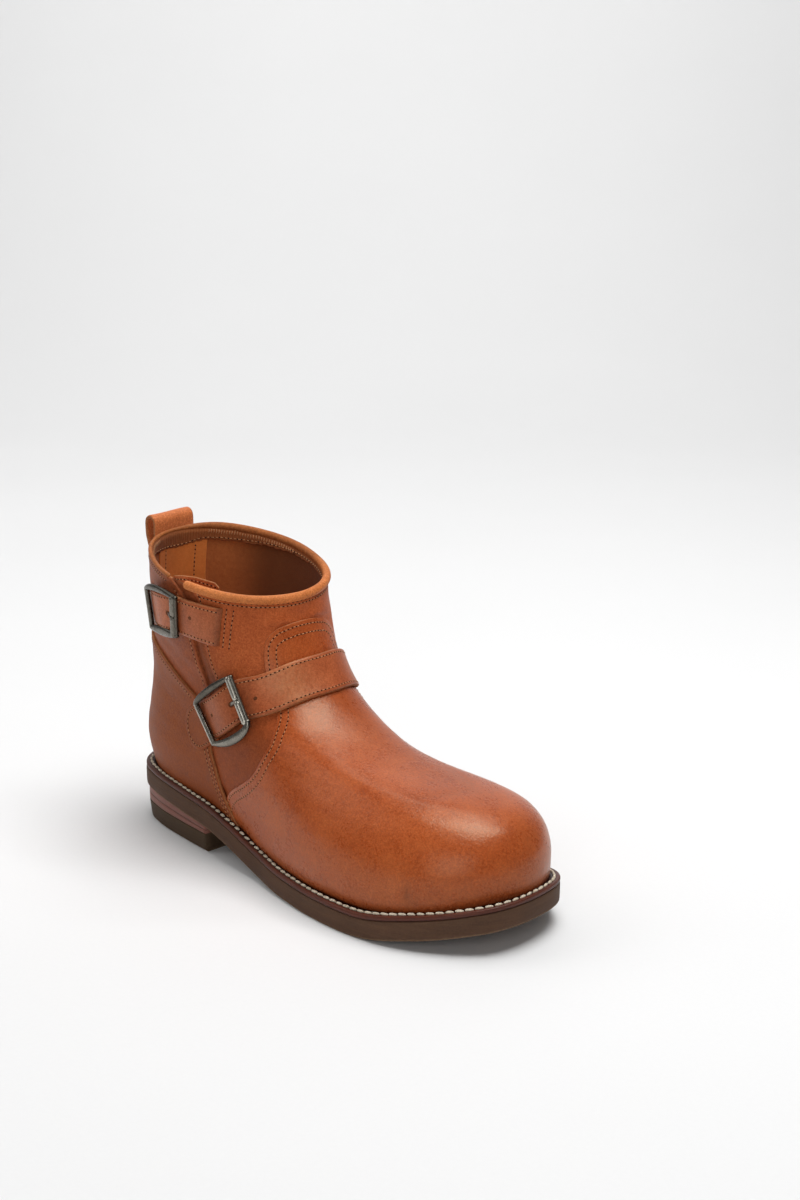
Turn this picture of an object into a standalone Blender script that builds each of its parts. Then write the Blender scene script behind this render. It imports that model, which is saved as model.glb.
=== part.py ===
"""A right engineer boot: a pull-on ankle boot with a buckled strap over the instep and a buckled strap at the collar.

Sizes are in millimetres and become metres when a mesh is made. Before the last shift, x runs from the back of the
welt (0) to the toe tip, y to the medial side (the wearer's left) and z up from the floor. The boot then stands with
the middle of its box over the origin.
"""

import bpy
import numpy as np

MM = 0.001

# ---- driving sizes -------------------------------------------------------------------------------------------------
SOLE_LENGTH = 303.0        # outsole, heel to toe
OUTSOLE_THICK = 9.5
SOLE_GAP = 0.5             # between outsole and welt, which are faceted differently
WELT_THICK = 3.5
WELT_WIDTH = 13.0
GAP = 0.3                  # left between pieces that meet
HEEL_BREAST = 86.0         # front face of the heel, from the back of the welt
HEEL_INSET = 1.3           # the heel block stands in from the outsole edge
HEEL_TAPER = 1.2           # and draws in this much more at the floor
TOP_PIECE_THICK = 11.3     # rubber under the leather lift
UPPER_WALL = 2.2
COUNTER_THICK = 1.3
COUNTER_OFF = 0.6          # the counter's underside stands this far off the upper
COUNTER_FOOT = 0.2         # section index of its lower edge
COUNTER_EDGE = 73.0        # degrees round from the back seam to the counter's front edge
BINDING_RADIUS = 2.3
BINDING_FROM, BINDING_TO = 101.0, 445.0   # degrees: the rolled collar edge stops at either side of the gusset
UPPER_TOP = 10.78          # section index of the cut edge under the rolled collar edge
COLLAR_TILT = 0.062        # the medial side of the collar stands higher
STRAP_WIDTH, STRAP_THICK = 24.0, 2.2
TOP_STRAP_WIDTH = 22.5
BUCKLE_WIRE = 1.7          # radius
BUCKLE_HALF_LENGTH, BUCKLE_CLEAR = 15.7, 1.2
LOOP_WIDTH, LOOP_THICK = 30.0, 2.0
LOOP_Y = 2.8               # the back seam leans this far to the medial side
X_MID, Y_MID = 150.97, -2.68

# ---- tables --------------------------------------------------------------------------------------------------------
# Outline of welt and outsole: distance from the heel, half width on the lateral side, half width on the medial side.
OUTLINE = np.array([
    # x      lateral  medial
    (8.0,    20.4,    20.4),
    (28.0,   30.8,    33.0),
    (60.0,   36.8,    36.0),
    (95.0,   40.8,    34.6),
    (130.0,  44.9,    34.4),
    (165.0,  52.3,    39.0),
    (195.0,  57.0,    45.2),
    (225.0,  58.2,    51.2),
    (250.0,  54.4,    53.0),
    (272.0,  44.8,    49.2),
    (290.0,  31.4,    39.0),
    (300.0,  17.3,    22.5)])

# Underside of the outsole: heel seat, arch, flat tread, toe spring.
UNDERSIDE = np.array([
    # x      z
    (0.0,    22.3),
    (86.0,   16.3),
    (112.0,  11.1),
    (142.0,  3.4),
    (170.0,  0.7),
    (196.0,  0.0),
    (226.0,  0.0),
    (264.0,  5.6),
    (303.0,  14.1)])

# Sections of the upper, feather line to collar. Each is a closed loop in a plane through a point on the back seam and
# a point on the front ridge; the half widths are given at fixed fractions of the way from back to front.
WIDTH_AT = np.array([0.05, 0.20, 0.40, 0.60, 0.80, 0.93])
SECTIONS = np.array([
    # back x, z     front x, z, y          lateral half widths                    medial half widths
    (6.6,   35.6,   296.8, 27.1, 6.0,   20.0, 31.2, 39.6, 52.0, 54.0, 39.0,   21.6, 28.4, 25.0, 31.5, 41.5, 36.0),
    (2.6,   44.7,   297.2, 41.2, 6.0,   21.2, 33.7, 42.6, 54.7, 55.7, 39.9,   22.4, 30.0, 27.8, 34.0, 43.4, 38.0),
    (0.8,   56.3,   292.5, 53.8, 6.0,   21.9, 35.2, 43.5, 52.4, 51.7, 36.4,   22.6, 31.8, 32.2, 33.6, 40.1, 36.9),
    (2.0,   68.0,   282.4, 62.5, 6.0,   21.2, 35.0, 42.9, 47.8, 44.8, 31.3,   21.6, 32.2, 34.5, 32.1, 32.5, 31.4),
    (4.5,   80.4,   264.7, 68.2, 6.0,   20.3, 34.1, 42.2, 44.0, 39.0, 27.4,   20.3, 31.7, 35.1, 31.5, 23.6, 21.0),
    (7.1,   94.8,   236.0, 72.8, 6.0,   19.1, 32.9, 41.3, 42.2, 36.3, 25.7,   19.0, 31.0, 35.2, 32.8, 20.1, 11.6),
    (8.7,   109.3,   203.5, 78.8, 5.0,   19.1, 32.9, 40.1, 41.4, 34.7, 23.6,   18.4, 31.0, 35.5, 34.8, 24.2, 13.3),
    (9.8,   123.9,   175.0, 88.9, 4.0,   19.0, 33.2, 40.0, 41.5, 34.6, 22.6,   18.2, 31.3, 36.6, 36.2, 28.3, 17.3),
    (10.6,   138.2,   152.2, 104.8, 2.0,   18.8, 33.9, 41.6, 42.6, 35.5, 22.8,   18.1, 32.6, 39.1, 39.1, 32.2, 20.8),
    (11.6,   152.3,   140.0, 125.1, 1.0,   18.7, 34.4, 42.9, 44.4, 37.4, 24.2,   18.3, 33.4, 41.4, 42.4, 35.5, 23.1),
    (12.9,   165.8,   135.0, 142.9, 0.0,   19.2, 35.2, 44.2, 45.7, 38.6, 25.1,   18.8, 34.5, 43.0, 44.1, 37.0, 24.0),
    (14.4,   178.2,   132.1, 157.5, 0.0,   19.9, 36.4, 45.8, 46.8, 39.3, 25.9,   19.7, 35.8, 44.6, 44.9, 37.3, 24.6)])
SAG_ENDS = 4.0             # the sections follow the sole's curve up to this one

# Top edge of the heel counter: degrees round from the back seam, section index.
COUNTER_TOP = np.array([(0.0, 7.0), (36.0, 6.9), (56.0, 6.6), (66.0, 6.2), (73.0, 5.8)])

# Edge of the vamp and of the shield above the strap: section index, degrees round from the back seam.
SHIELD_TOP = 10.08
VAMP_EDGE = np.array([(0.0, 69.5), (0.95, 73.0), (2.1, 81.0), (3.08, 88.0), (4.55, 97.5), (5.98, 113.0), (7.0, 127.5), (8.58, 142.0),
                      (9.25, 146.0), (9.6, 150.0), (9.93, 157.5), (SHIELD_TOP, 165.0), (11.0, 166.0)])

# Centre lines of the straps on the upper: degrees round from the back seam, section index.
INSTEP_PATH = np.array([(52.0, 2.7), (58.0, 3.2), (71.5, 4.45), (90.0, 5.85), (108.5, 7.0), (124.0, 7.55), (138.0, 7.92),
                        (160.0, 8.35), (180.0, 8.45), (200.0, 8.35), (222.0, 7.92), (236.0, 7.55), (251.5, 7.0),
                        (270.0, 5.85), (288.5, 4.45)])
TOP_PATH = np.array([(26.0, 8.45), (36.0, 8.5), (47.0, 8.65), (60.0, 8.92), (75.0, 9.25), (90.0, 9.5), (106.0, 9.62),
                     (122.0, 9.68)])

MATERIALS = {
    "leather_tan": (0.42, 0.15, 0.05, 1.0),
    "leather_edge": (0.20, 0.07, 0.035, 1.0),
    "rubber_brown": (0.045, 0.032, 0.026, 1.0),
    "insole_leather": (0.36, 0.20, 0.10, 1.0),
    "buckle_metal": (0.30, 0.26, 0.20, 1.0),
}


# ---- curves --------------------------------------------------------------------------------------------------------
def spline_matrix(knots, at):
    """Natural cubic spline as a matrix, so that values at `at` are the matrix times the values at the knots."""
    knots, at = np.asarray(knots, float), np.atleast_1d(np.asarray(at, float))
    n, h = len(knots), np.diff(knots)
    a, b = np.zeros((n, n)), np.zeros((n, n))
    a[0, 0] = a[-1, -1] = 1.0
    for i in range(1, n - 1):
        a[i, i - 1 : i + 2] = h[i - 1], 2 * (h[i - 1] + h[i]), h[i]
        b[i, i - 1 : i + 2] = 6 / h[i - 1], -6 / h[i - 1] - 6 / h[i], 6 / h[i]
    bend = np.linalg.solve(a, b)
    k = np.clip(np.searchsorted(knots, at) - 1, 0, n - 2)
    p, q = (knots[k + 1] - at) / h[k], (at - knots[k]) / h[k]
    one = np.eye(n)
    return (p[:, None] * one[k] + q[:, None] * one[k + 1]
            + ((p**3 - p) * h[k] ** 2 / 6)[:, None] * bend[k] + ((q**3 - q) * h[k] ** 2 / 6)[:, None] * bend[k + 1])


def spline(table, at):
    return spline_matrix(table[:, 0], at) @ table[:, 1]


def monotone(table, at):
    """Cubic through the table that never overshoots it."""
    x, y = table[:, 0], table[:, 1]
    h = np.diff(x)
    slope = np.diff(y) / h
    m = np.concatenate([slope[:1], np.zeros(len(x) - 2), slope[-1:]])
    for i in range(1, len(x) - 1):
        if slope[i - 1] * slope[i] > 0:
            w1, w2 = 2 * h[i] + h[i - 1], h[i] + 2 * h[i - 1]
            m[i] = (w1 + w2) / (w1 / slope[i - 1] + w2 / slope[i])
    at = np.clip(at, x[0], x[-1])
    k = np.clip(np.searchsorted(x, at) - 1, 0, len(x) - 2)
    t = (at - x[k]) / h[k]
    return ((2 * t**3 - 3 * t**2 + 1) * y[k] + (t**3 - 2 * t**2 + t) * h[k] * m[k]
            + (3 * t**2 - 2 * t**3) * y[k + 1] + (t**3 - t**2) * h[k] * m[k + 1])


# ---- sole lines ----------------------------------------------------------------------------------------------------
def underside(x):
    return monotone(UNDERSIDE, np.asarray(x, float))


def welt_top(x):
    return underside(x) + OUTSOLE_THICK + SOLE_GAP + WELT_THICK


def round_ended(stations, values, at, length):
    """Half widths of an outline that closes with a round end at 0 and at length."""
    r = values / np.sqrt(stations * (length - stations))
    r = np.concatenate([[r[0] + 0.3 * (r[0] - r[1])], r, [r[-1] + 0.3 * (r[-1] - r[-2])]])
    knots = np.concatenate([[0.0], stations, [length]])
    return monotone(np.column_stack([knots, r]), at) * np.sqrt(np.maximum(at * (length - at), 0.0))


def outline_loop(count, inset=0.0):
    """The sole's outline as a loop from the heel along the lateral side to the toe and back, drawn in by inset."""
    turn = np.arange(count) * 2 * np.pi / count
    x = (1 - np.cos(turn)) / 2 * SOLE_LENGTH
    lateral = -round_ended(OUTLINE[:, 0], OUTLINE[:, 1], x, SOLE_LENGTH)
    medial = round_ended(OUTLINE[:, 0], OUTLINE[:, 2], x, SOLE_LENGTH)
    loop = np.column_stack([x, np.where(turn <= np.pi, lateral, medial)])
    along = np.roll(loop, -1, 0) - np.roll(loop, 1, 0)
    along /= np.linalg.norm(along, axis=1)[:, None]
    return loop + inset * np.column_stack([-along[:, 1], along[:, 0]])


def edges(inset, stations):
    """y of the lateral and of the medial edge of the inset outline at each x, and the x range it covers."""
    loop = outline_loop(360, inset)
    half = len(loop) // 2
    lateral, medial = loop[: half + 1], np.vstack([loop[half:], loop[:1]])[::-1]
    low, high = loop[:, 0].min(), loop[:, 0].max()
    x = low + (high - low) * stations
    return x, np.interp(x, lateral[:, 0], lateral[:, 1]), np.interp(x, medial[:, 0], medial[:, 1])


# ---- the upper's surface -------------------------------------------------------------------------------------------
def upper_at(s, turn):
    """Points of the upper's outside. s is the section index, turn is degrees from the back seam by the lateral side."""
    s, turn = np.broadcast_arrays(np.asarray(s, float), np.radians(np.asarray(turn, float)))
    shape, s, turn = s.shape, s.ravel(), turn.ravel()
    row = spline_matrix(np.arange(len(SECTIONS)), s) @ SECTIONS
    u = (1 - np.cos(turn)) / 2
    root = np.sqrt(WIDTH_AT * (1 - WIDTH_AT))
    weights = spline_matrix(np.concatenate([[0.0], WIDTH_AT, [1.0]]), u)

    def half(columns):
        r = columns / root
        first, last = r[:, :1] + 0.3 * (r[:, :1] - r[:, 1:2]), r[:, -1:] + 0.3 * (r[:, -1:] - r[:, -2:-1])
        return (np.hstack([first, r, last]) * weights).sum(1) * np.abs(np.sin(turn)) / 2

    y = row[:, 4] * u**1.3 + np.where(np.sin(turn) >= 0, -half(row[:, 5:11]), half(row[:, 11:17]))
    x = row[:, 0] + (row[:, 2] - row[:, 0]) * u
    z = row[:, 1] + (row[:, 3] - row[:, 1]) * u
    chord = underside(row[:, 0]) + (underside(row[:, 2]) - underside(row[:, 0])) * u
    z += np.clip(1 - s / SAG_ENDS, 0, 1) ** 1.5 * (underside(x) - chord)
    z += COLLAR_TILT * y * np.clip((s - 4) / 7, 0, 1) ** 1.5
    z += np.clip(1 - s, 0, 1) ** 2 * (welt_top(x) + GAP - (row[:, 1] + (row[:, 3] - row[:, 1]) * u + underside(x) - chord))
    return np.column_stack([x, y, z]).reshape(shape + (3,))


def upper_frame(s, turn):
    """Point, outward normal and the two surface derivatives."""
    e, f = 1e-3, 1e-2
    by_s = (upper_at(s + e, turn) - upper_at(s - e, turn)) / (2 * e)
    by_turn = (upper_at(s, turn + f) - upper_at(s, turn - f)) / (2 * f)
    normal = np.cross(by_turn, by_s)
    normal /= np.linalg.norm(normal, axis=-1, keepdims=True)
    return upper_at(s, turn), normal, by_s, by_turn


def upper_off(s, turn, off):
    """Points at a distance off the upper's outside, inside when negative."""
    point, normal, _, _ = upper_frame(s, turn)
    return point + normal * np.asarray(off, float)[..., None]


def strip_map(path, width_steps=6, samples=240):
    """Maps a strap's own coordinates, along and across, to the upper's section index and turn."""
    turns = np.linspace(path[0, 0], path[-1, 0], samples)
    sections = spline(path, turns)
    points = upper_at(sections, turns)
    run = np.concatenate([[0.0], np.cumsum(np.linalg.norm(np.diff(points, axis=0), axis=1))])

    def place(along, across):
        along, across = np.broadcast_arrays(np.asarray(along, float), np.asarray(across, float))
        shape, along, across = along.shape, along.ravel(), across.ravel()
        turn, s = np.interp(along, run, turns), np.interp(along, run, sections)
        ahead = upper_at(np.interp(along + 1, run, sections), np.interp(along + 1, run, turns))
        behind = upper_at(np.interp(along - 1, run, sections), np.interp(along - 1, run, turns))
        way = ahead - behind
        _, normal, by_s, by_turn = upper_frame(s, turn)
        side = np.cross(normal, way)
        for _ in range(width_steps):
            side -= normal * (side * normal).sum(1, keepdims=True)
            side /= np.linalg.norm(side, axis=1, keepdims=True)
            step = side * (across / width_steps)[:, None]
            a, b, c = (by_s * by_s).sum(1), (by_s * by_turn).sum(1), (by_turn * by_turn).sum(1)
            p, q = (by_s * step).sum(1), (by_turn * step).sum(1)
            det = a * c - b * b
            s, turn = s + (c * p - b * q) / det, turn + (a * q - b * p) / det
            _, normal, by_s, by_turn = upper_frame(s, turn)
        return s.reshape(shape), turn.reshape(shape)

    return place, run[-1], lambda turn: np.interp(turn, turns, run)


# ---- solids --------------------------------------------------------------------------------------------------------
def add_mesh(name, points, faces, material):
    points = (np.asarray(points, float) - (X_MID, Y_MID, 0.0)) * MM
    mesh = bpy.data.meshes.new(name)
    mesh.from_pydata([tuple(p) for p in points], [], [tuple(int(i) for i in f) for f in faces])
    mesh.update()
    look = bpy.data.materials.get(material)
    if look is None:
        look = bpy.data.materials.new(material)
        look.use_nodes = True
        look.node_tree.nodes["Principled BSDF"].inputs["Base Color"].default_value = MATERIALS[material]
    mesh.materials.append(look)
    thing = bpy.data.objects.new(name, mesh)
    bpy.context.scene.collection.objects.link(thing)
    return thing


def loft(name, rings, material, closed_path=False):
    """Solid through rings of points, each ring anticlockwise seen from the way ahead."""
    rings = np.asarray(rings, float)
    n, m = rings.shape[:2]
    faces = []
    for i in range(n if closed_path else n - 1):
        j = (i + 1) % n
        for k in range(m):
            l = (k + 1) % m
            faces.append((i * m + k, i * m + l, j * m + l, j * m + k))
    if not closed_path:
        faces.append(tuple(range(m - 1, -1, -1)))
        faces.append(tuple((n - 1) * m + k for k in range(m)))
    volume = 0.0
    points = rings.reshape(-1, 3)
    for f in faces:
        for a, b in zip(f[1:-1], f[2:]):
            volume += np.dot(points[f[0]], np.cross(points[a], points[b]))
    if volume < 0:
        faces = [f[::-1] for f in faces]
    return add_mesh(name, points, faces, material)


def plate(name, x, lateral, medial, low, high, chamfer, material, taper=0.0):
    """Solid between two edges and two heights given along x, with its lower edge broken."""
    rings = []
    for xi, a, b, z0, z1 in zip(x, lateral, medial, low, high):
        c = min(chamfer, (b - a) * 0.2)
        t = taper
        rings.append([(xi, a + t + c, z0), (xi, b - t - c, z0), (xi, b - t, z0 + c), (xi, b, z1), (xi, a, z1), (xi, a + t, z0 + c)])
    return loft(name, rings, material)


def sheet(name, inner, outer, material):
    """Solid between two grids of points that face each other, the inner one first."""
    inner, outer = np.asarray(inner, float), np.asarray(outer, float)
    rings = [np.vstack([o, i[::-1]]) for i, o in zip(inner, outer)]
    n, m = len(rings), len(rings[0])
    half = m // 2
    points = np.vstack(rings)
    faces = []
    for i in range(n - 1):
        for k in range(m):
            l = (k + 1) % m
            faces.append((i * m + k, i * m + l, (i + 1) * m + l, (i + 1) * m + k))
    for base, flip in ((0, True), ((n - 1) * m, False)):
        for k in range(half - 1):
            f = (base + k, base + k + 1, base + m - 2 - k, base + m - 1 - k)
            faces.append(f[::-1] if flip else f)
    volume = sum(np.dot(points[f[0]], np.cross(points[f[a]], points[f[a + 1]])) for f in faces for a in (1, 2))
    if volume < 0:
        faces = [f[::-1] for f in faces]
    return add_mesh(name, points, faces, material)


def tube(name, path, radius, sides, material, closed=False):
    path = np.asarray(path, float)
    if closed:
        way = np.roll(path, -1, 0) - np.roll(path, 1, 0)
    else:
        way = np.gradient(path, axis=0)
    way /= np.linalg.norm(way, axis=1)[:, None]
    side = np.cross(way[0], (0.0, 0.0, 1.0))
    if np.linalg.norm(side) < 0.2:
        side = np.cross(way[0], (1.0, 0.0, 0.0))
    rings = []
    turn = np.arange(sides) * 2 * np.pi / sides
    for p, w in zip(path, way):
        side = side - w * np.dot(side, w)
        side /= np.linalg.norm(side)
        up = np.cross(side, w)
        rings.append(p + radius * (np.cos(turn)[:, None] * side + np.sin(turn)[:, None] * up))
    if closed:
        return loft_twisted(name, rings, path, material)
    return loft(name, rings, material)


def loft_twisted(name, rings, path, material):
    """Closed tube: the last ring joins the first one at the corner that lies nearest."""
    rings = np.asarray(rings)
    m = rings.shape[1]
    shift = min(range(m), key=lambda k: np.linalg.norm(np.roll(rings[-1], -k, 0) - rings[0]))
    for i in range(len(rings)):
        turn = shift * i / (len(rings) - 1)
        low = int(np.floor(turn))
        t = turn - low
        a, b = np.roll(rings[i], -low, 0) - path[i], np.roll(rings[i], -low - 1, 0) - path[i]
        mixed = a * (1 - t) + b * t
        rings[i] = path[i] + mixed * (np.linalg.norm(a, axis=1) / np.linalg.norm(mixed, axis=1))[:, None]
    return loft(name, rings, material, closed_path=True)


# ---- pieces --------------------------------------------------------------------------------------------------------
def make_sole():
    fractions = (1 - np.cos(np.linspace(0.06, np.pi - 0.06, 32))) / 2
    x, lateral, medial = edges(0.0, fractions)
    plate("outsole", x, lateral, medial, underside(x), underside(x) + OUTSOLE_THICK, 0.8, "rubber_brown")

    count = 72
    outer, inner = outline_loop(count), outline_loop(count, WELT_WIDTH)
    rings = []
    for o, i in zip(outer, inner):
        zo, zi = welt_top(o[0]), welt_top(i[0])
        rings.append([(*o, zo - WELT_THICK), (*o, zo), (*i, zi), (*i, zi - WELT_THICK)])
    loft("welt", rings, "leather_edge", closed_path=True)

    x, lateral, medial = edges(WELT_WIDTH + 0.5, fractions[1:-1])
    plate("insole", x, lateral, medial, welt_top(x) - WELT_THICK, welt_top(x), 0.2, "insole_leather")

    heel = np.linspace(0.0, 1.0, 16) ** 1.6
    loop_x, lateral, medial = edges(HEEL_INSET, np.linspace(0.0, 1.0, 400))
    x = loop_x[0] + 0.8 + (HEEL_BREAST - loop_x[0] - 0.8) * heel
    a, b = np.interp(x, loop_x, lateral), np.interp(x, loop_x, medial)
    plate("heel_lift", x, a, b, np.full_like(x, TOP_PIECE_THICK + GAP), underside(x) - GAP, 0.2, "leather_edge")
    plate("heel_top_piece", x, a, b, np.zeros_like(x), np.full_like(x, TOP_PIECE_THICK), 0.6, "rubber_brown", HEEL_TAPER)


def panel(name, outer, inner, mine, material):
    """Solid of the wall's cells that are this panel's: outside, inside and a cut edge all round it."""
    n, m = outer.shape[:2]
    used, points, faces = {}, [], []

    def at(side, i, k):
        key = (side, i, k % m)
        if key not in used:
            used[key] = len(points)
            points.append((outer if side == 0 else inner)[i, k % m])
        return used[key]

    owned = {(i, k) for i in range(n - 1) for k in range(m) if mine(i, k)}
    for i, k in sorted(owned):
        a, b, c, d = (i, k), (i, k + 1), (i + 1, k + 1), (i + 1, k)
        faces.append([at(0, *v) for v in (a, b, c, d)])
        faces.append([at(1, *v) for v in (d, c, b, a)])
        for beside, (v, w) in (((i - 1, k), (a, b)), ((i, (k + 1) % m), (b, c)), ((i + 1, k), (c, d)), ((i, (k - 1) % m), (d, a))):
            if beside not in owned:
                faces.append([at(0, *w), at(0, *v), at(1, *v), at(1, *w)])
    return add_mesh(name, points, faces, material)


def make_upper():
    """Vamp with its shield, and the shaft behind and above it. They meet along the vamp's edge."""
    rows = np.array([0.0, 0.35, 0.9, 1.5, 2.1, 2.7, 3.3, 3.9, 4.5, 5.1, 5.7, 6.3, 6.9, 7.5, 8.1, 8.7, 9.3, 9.7, SHIELD_TOP, 10.45, UPPER_TOP])
    top = int(np.flatnonzero(rows == SHIELD_TOP)[0])
    edge = monotone(VAMP_EDGE, rows)
    ahead = np.linspace(0, 1, 9)[1:]
    front = np.linspace(0, 1, 25)[1:-1]
    t = np.array([np.concatenate([np.arange(0.0, 67.0, 6.0), 66 + (e - 66) * ahead, e + (360 - 2 * e) * front,
                                  294 - (e - 66) * ahead[::-1], 360 - np.arange(6.0, 67.0, 6.0)[::-1]]) for e in edge])
    s = np.broadcast_to(rows[:, None], t.shape)
    left = 11 + len(ahead)                       # column of the vamp's lateral edge
    right = left + len(front) + 1
    vamp = lambda i, k: left <= k < right and i < top

    def walls(s, t):
        outer, inner = upper_at(s, t), upper_off(s, t, np.full(s.shape, -UPPER_WALL))
        inner[0, :, 2] = welt_top(inner[0, :, 0]) + GAP
        return outer, inner

    panel("shaft", *walls(s, t), lambda i, k: not vamp(i, k), "leather_tan")
    s, t = s.copy(), t.copy()
    t[: top + 1, left] += 0.5                     # the vamp keeps clear of the shaft
    t[: top + 1, right] -= 0.5
    s[top, left : right + 1] -= 0.03
    panel("vamp", *walls(s, t), vamp, "leather_tan")


def make_overlays():
    turns = np.concatenate([[-COUNTER_EDGE], np.arange(-66.0, 67.0, 6.0), [COUNTER_EDGE]])
    tops = spline(COUNTER_TOP, np.abs(turns))
    s = COUNTER_FOOT + np.linspace(0.0, 1.0, 13)[:, None] * (tops[None] - COUNTER_FOOT)
    t = np.broadcast_to(turns, s.shape)
    low = np.full(s.shape, COUNTER_OFF)
    faces = [upper_off(s, t, low), upper_off(s, t, low + COUNTER_THICK)]
    for face in faces:
        face[0, :, 2] = np.maximum(face[0, :, 2], welt_top(face[0, :, 0]) + SOLE_GAP)
    sheet("heel_counter", *faces, "leather_tan")

    turns = np.linspace(BINDING_FROM, BINDING_TO, 46)
    rim = upper_off(np.full(46, 11.0), turns, np.full(46, -UPPER_WALL / 2))
    tube("collar_binding", rim, BINDING_RADIUS, 8, "leather_tan")


def make_loop():
    """Pull loop: a strip folded over behind the collar, its two legs sewn together below."""
    centre = [(10.3, 157.0), (10.3, 167.0), (10.2, 175.5), (10.2, 182.0)]
    for a in np.linspace(15, 165, 7):
        centre.append((6.2 + 4.0 * np.cos(np.radians(a)), 183.4 + 4.0 * np.sin(np.radians(a))))
    centre += [(2.2, 181.5), (2.6, 175.5), (4.8, 169.5), (7.7, 164.0), (8.0, 157.0)]
    centre = np.array(centre)
    centre[:, 0] += np.interp(centre[:, 1], (157.0, 176.0), (0.0, 1.2))
    way = np.gradient(centre, axis=0)
    way /= np.linalg.norm(way, axis=1)[:, None]
    side = np.column_stack([-way[:, 1], way[:, 0]]) * LOOP_THICK / 2
    half = LOOP_WIDTH / 2
    rings = []
    for c, n in zip(centre, side):
        a, b = c + n, c - n
        lean = 0.05 * np.clip((c[1] - 160) / 15, 0, 1)
        rings.append([(p[0], LOOP_Y + y, p[1] + lean * y) for p, y in ((a, -half), (a, half), (b, half), (b, -half))])
    loft("pull_loop", rings, "leather_tan")


def strap_lift(turn, base, on_counter):
    """How far a strap's underside stands off the upper: more where it crosses the heel counter."""
    edge = np.clip((np.abs(((turn + 180) % 360) - 180) - COUNTER_EDGE + 2) / 16, 0, 1)
    return on_counter + (base - on_counter) * edge * edge * (3 - 2 * edge)


def make_strap(name, place, start, end, width, steps, lift, round_end=False):
    along = np.linspace(start, end, steps)
    half = np.full(steps, width / 2)
    if round_end:
        near = np.clip((along - start) / (width * 0.45), 0.03, 1)
        half = half * np.sqrt(1 - (1 - near) ** 2)
    across = np.linspace(-1, 1, 5)[:, None] * half[None]
    s, t = place(np.broadcast_to(along, across.shape), across)
    low = lift(t)
    sheet(name, upper_off(s, t, low), upper_off(s, t, low + STRAP_THICK), "leather_tan")


def make_buckle(name, place, middle, half_width, base, slant, clear=BUCKLE_CLEAR):
    """Frame of round wire, turned a little on its strap, with a prong that rests against its front bar."""
    half_length = BUCKLE_HALF_LENGTH
    across = half_width + clear + BUCKLE_WIRE
    corner = 5.0
    path = []
    for cx, cy, first in ((1, 1, 0), (-1, 1, 90), (-1, -1, 180), (1, -1, 270)):
        for a in np.radians(first + np.linspace(0, 90, 5)):
            path.append((cx * (half_length - corner) + corner * np.cos(a), cy * (across - corner) + corner * np.sin(a)))
    path = np.array(path)
    dense = []
    for a, b in zip(path, np.roll(path, -1, 0)):
        n = 1 if np.linalg.norm(b - a) < 6 else 4
        dense += [a + (b - a) * i / n for i in range(n)]
    dense = np.array(dense)
    s, t = place(middle + dense[:, 0] + slant * dense[:, 1], dense[:, 1])
    high = base + STRAP_THICK + GAP + BUCKLE_WIRE + 0.2
    tube(name, upper_off(s, t, np.full(len(s), high)), BUCKLE_WIRE, 8, "buckle_metal", closed=True)
    along = middle + np.linspace(half_length - BUCKLE_WIRE - 8.5, half_length - BUCKLE_WIRE - 1.6, 5)
    s, t = place(along, np.zeros(5))
    tube(name + "_prong", upper_off(s, t, np.full(5, base + STRAP_THICK + GAP + 1.4)), 1.1, 8, "buckle_metal")


def make_straps():
    over_counter = COUNTER_OFF + COUNTER_THICK + 0.5
    place, total, run_at = strip_map(INSTEP_PATH)
    bar = run_at(71.5) + 7.6
    lift = lambda t: strap_lift(t, 0.8, over_counter)
    make_strap("instep_strap_base", place, bar - 28.6, bar - 1.0, STRAP_WIDTH + 2, 12, lambda t: np.full(np.shape(t), over_counter), True)
    make_strap("instep_strap", place, bar, run_at(284.0), STRAP_WIDTH, 36, lift)
    make_buckle("instep_buckle", place, bar + BUCKLE_HALF_LENGTH, STRAP_WIDTH / 2, over_counter, -0.19)

    place, total, run_at = strip_map(TOP_PATH)
    bar = run_at(48.0) + 15.2
    flat = lambda t: np.full(np.shape(t), 0.8)
    make_strap("top_strap_base", place, bar - 16.0, bar - 1.0, TOP_STRAP_WIDTH + 2, 8, flat, True)
    make_strap("top_strap", place, bar, run_at(122.0), TOP_STRAP_WIDTH, 16, flat)
    make_buckle("top_buckle", place, bar + BUCKLE_HALF_LENGTH, TOP_STRAP_WIDTH / 2, 0.8, 0.08, -0.1)


for thing in list(bpy.data.objects):
    bpy.data.objects.remove(thing, do_unlink=True)
make_sole()
make_upper()
make_overlays()
make_loop()
make_straps()
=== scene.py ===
"""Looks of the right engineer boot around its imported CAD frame.

Pieces are laid out in the CAD's own sizes, in millimetres: x from the back of the welt to the toe, y to the medial side,
z up from the floor. They become metres in the row's frame when a mesh is made.
"""

import bpy
import numpy as np
from mathutils import Matrix


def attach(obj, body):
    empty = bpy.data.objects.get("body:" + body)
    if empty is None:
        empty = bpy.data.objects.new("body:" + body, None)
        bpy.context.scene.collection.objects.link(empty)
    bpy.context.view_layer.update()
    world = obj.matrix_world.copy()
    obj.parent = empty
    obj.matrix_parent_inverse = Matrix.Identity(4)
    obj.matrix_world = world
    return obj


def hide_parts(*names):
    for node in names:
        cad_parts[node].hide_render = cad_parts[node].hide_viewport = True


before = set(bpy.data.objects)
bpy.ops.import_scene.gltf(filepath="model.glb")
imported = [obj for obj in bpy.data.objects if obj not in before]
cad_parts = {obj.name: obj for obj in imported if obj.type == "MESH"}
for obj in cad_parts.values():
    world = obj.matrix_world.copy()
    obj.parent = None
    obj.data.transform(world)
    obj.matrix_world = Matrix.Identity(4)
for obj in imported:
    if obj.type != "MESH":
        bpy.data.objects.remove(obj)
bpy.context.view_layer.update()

# ---- sizes and tables, as in the CAD -------------------------------------------------------------------------------
SOLE_LENGTH = 303.0
OUTSOLE_THICK = 9.5
SOLE_GAP = 0.5
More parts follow.
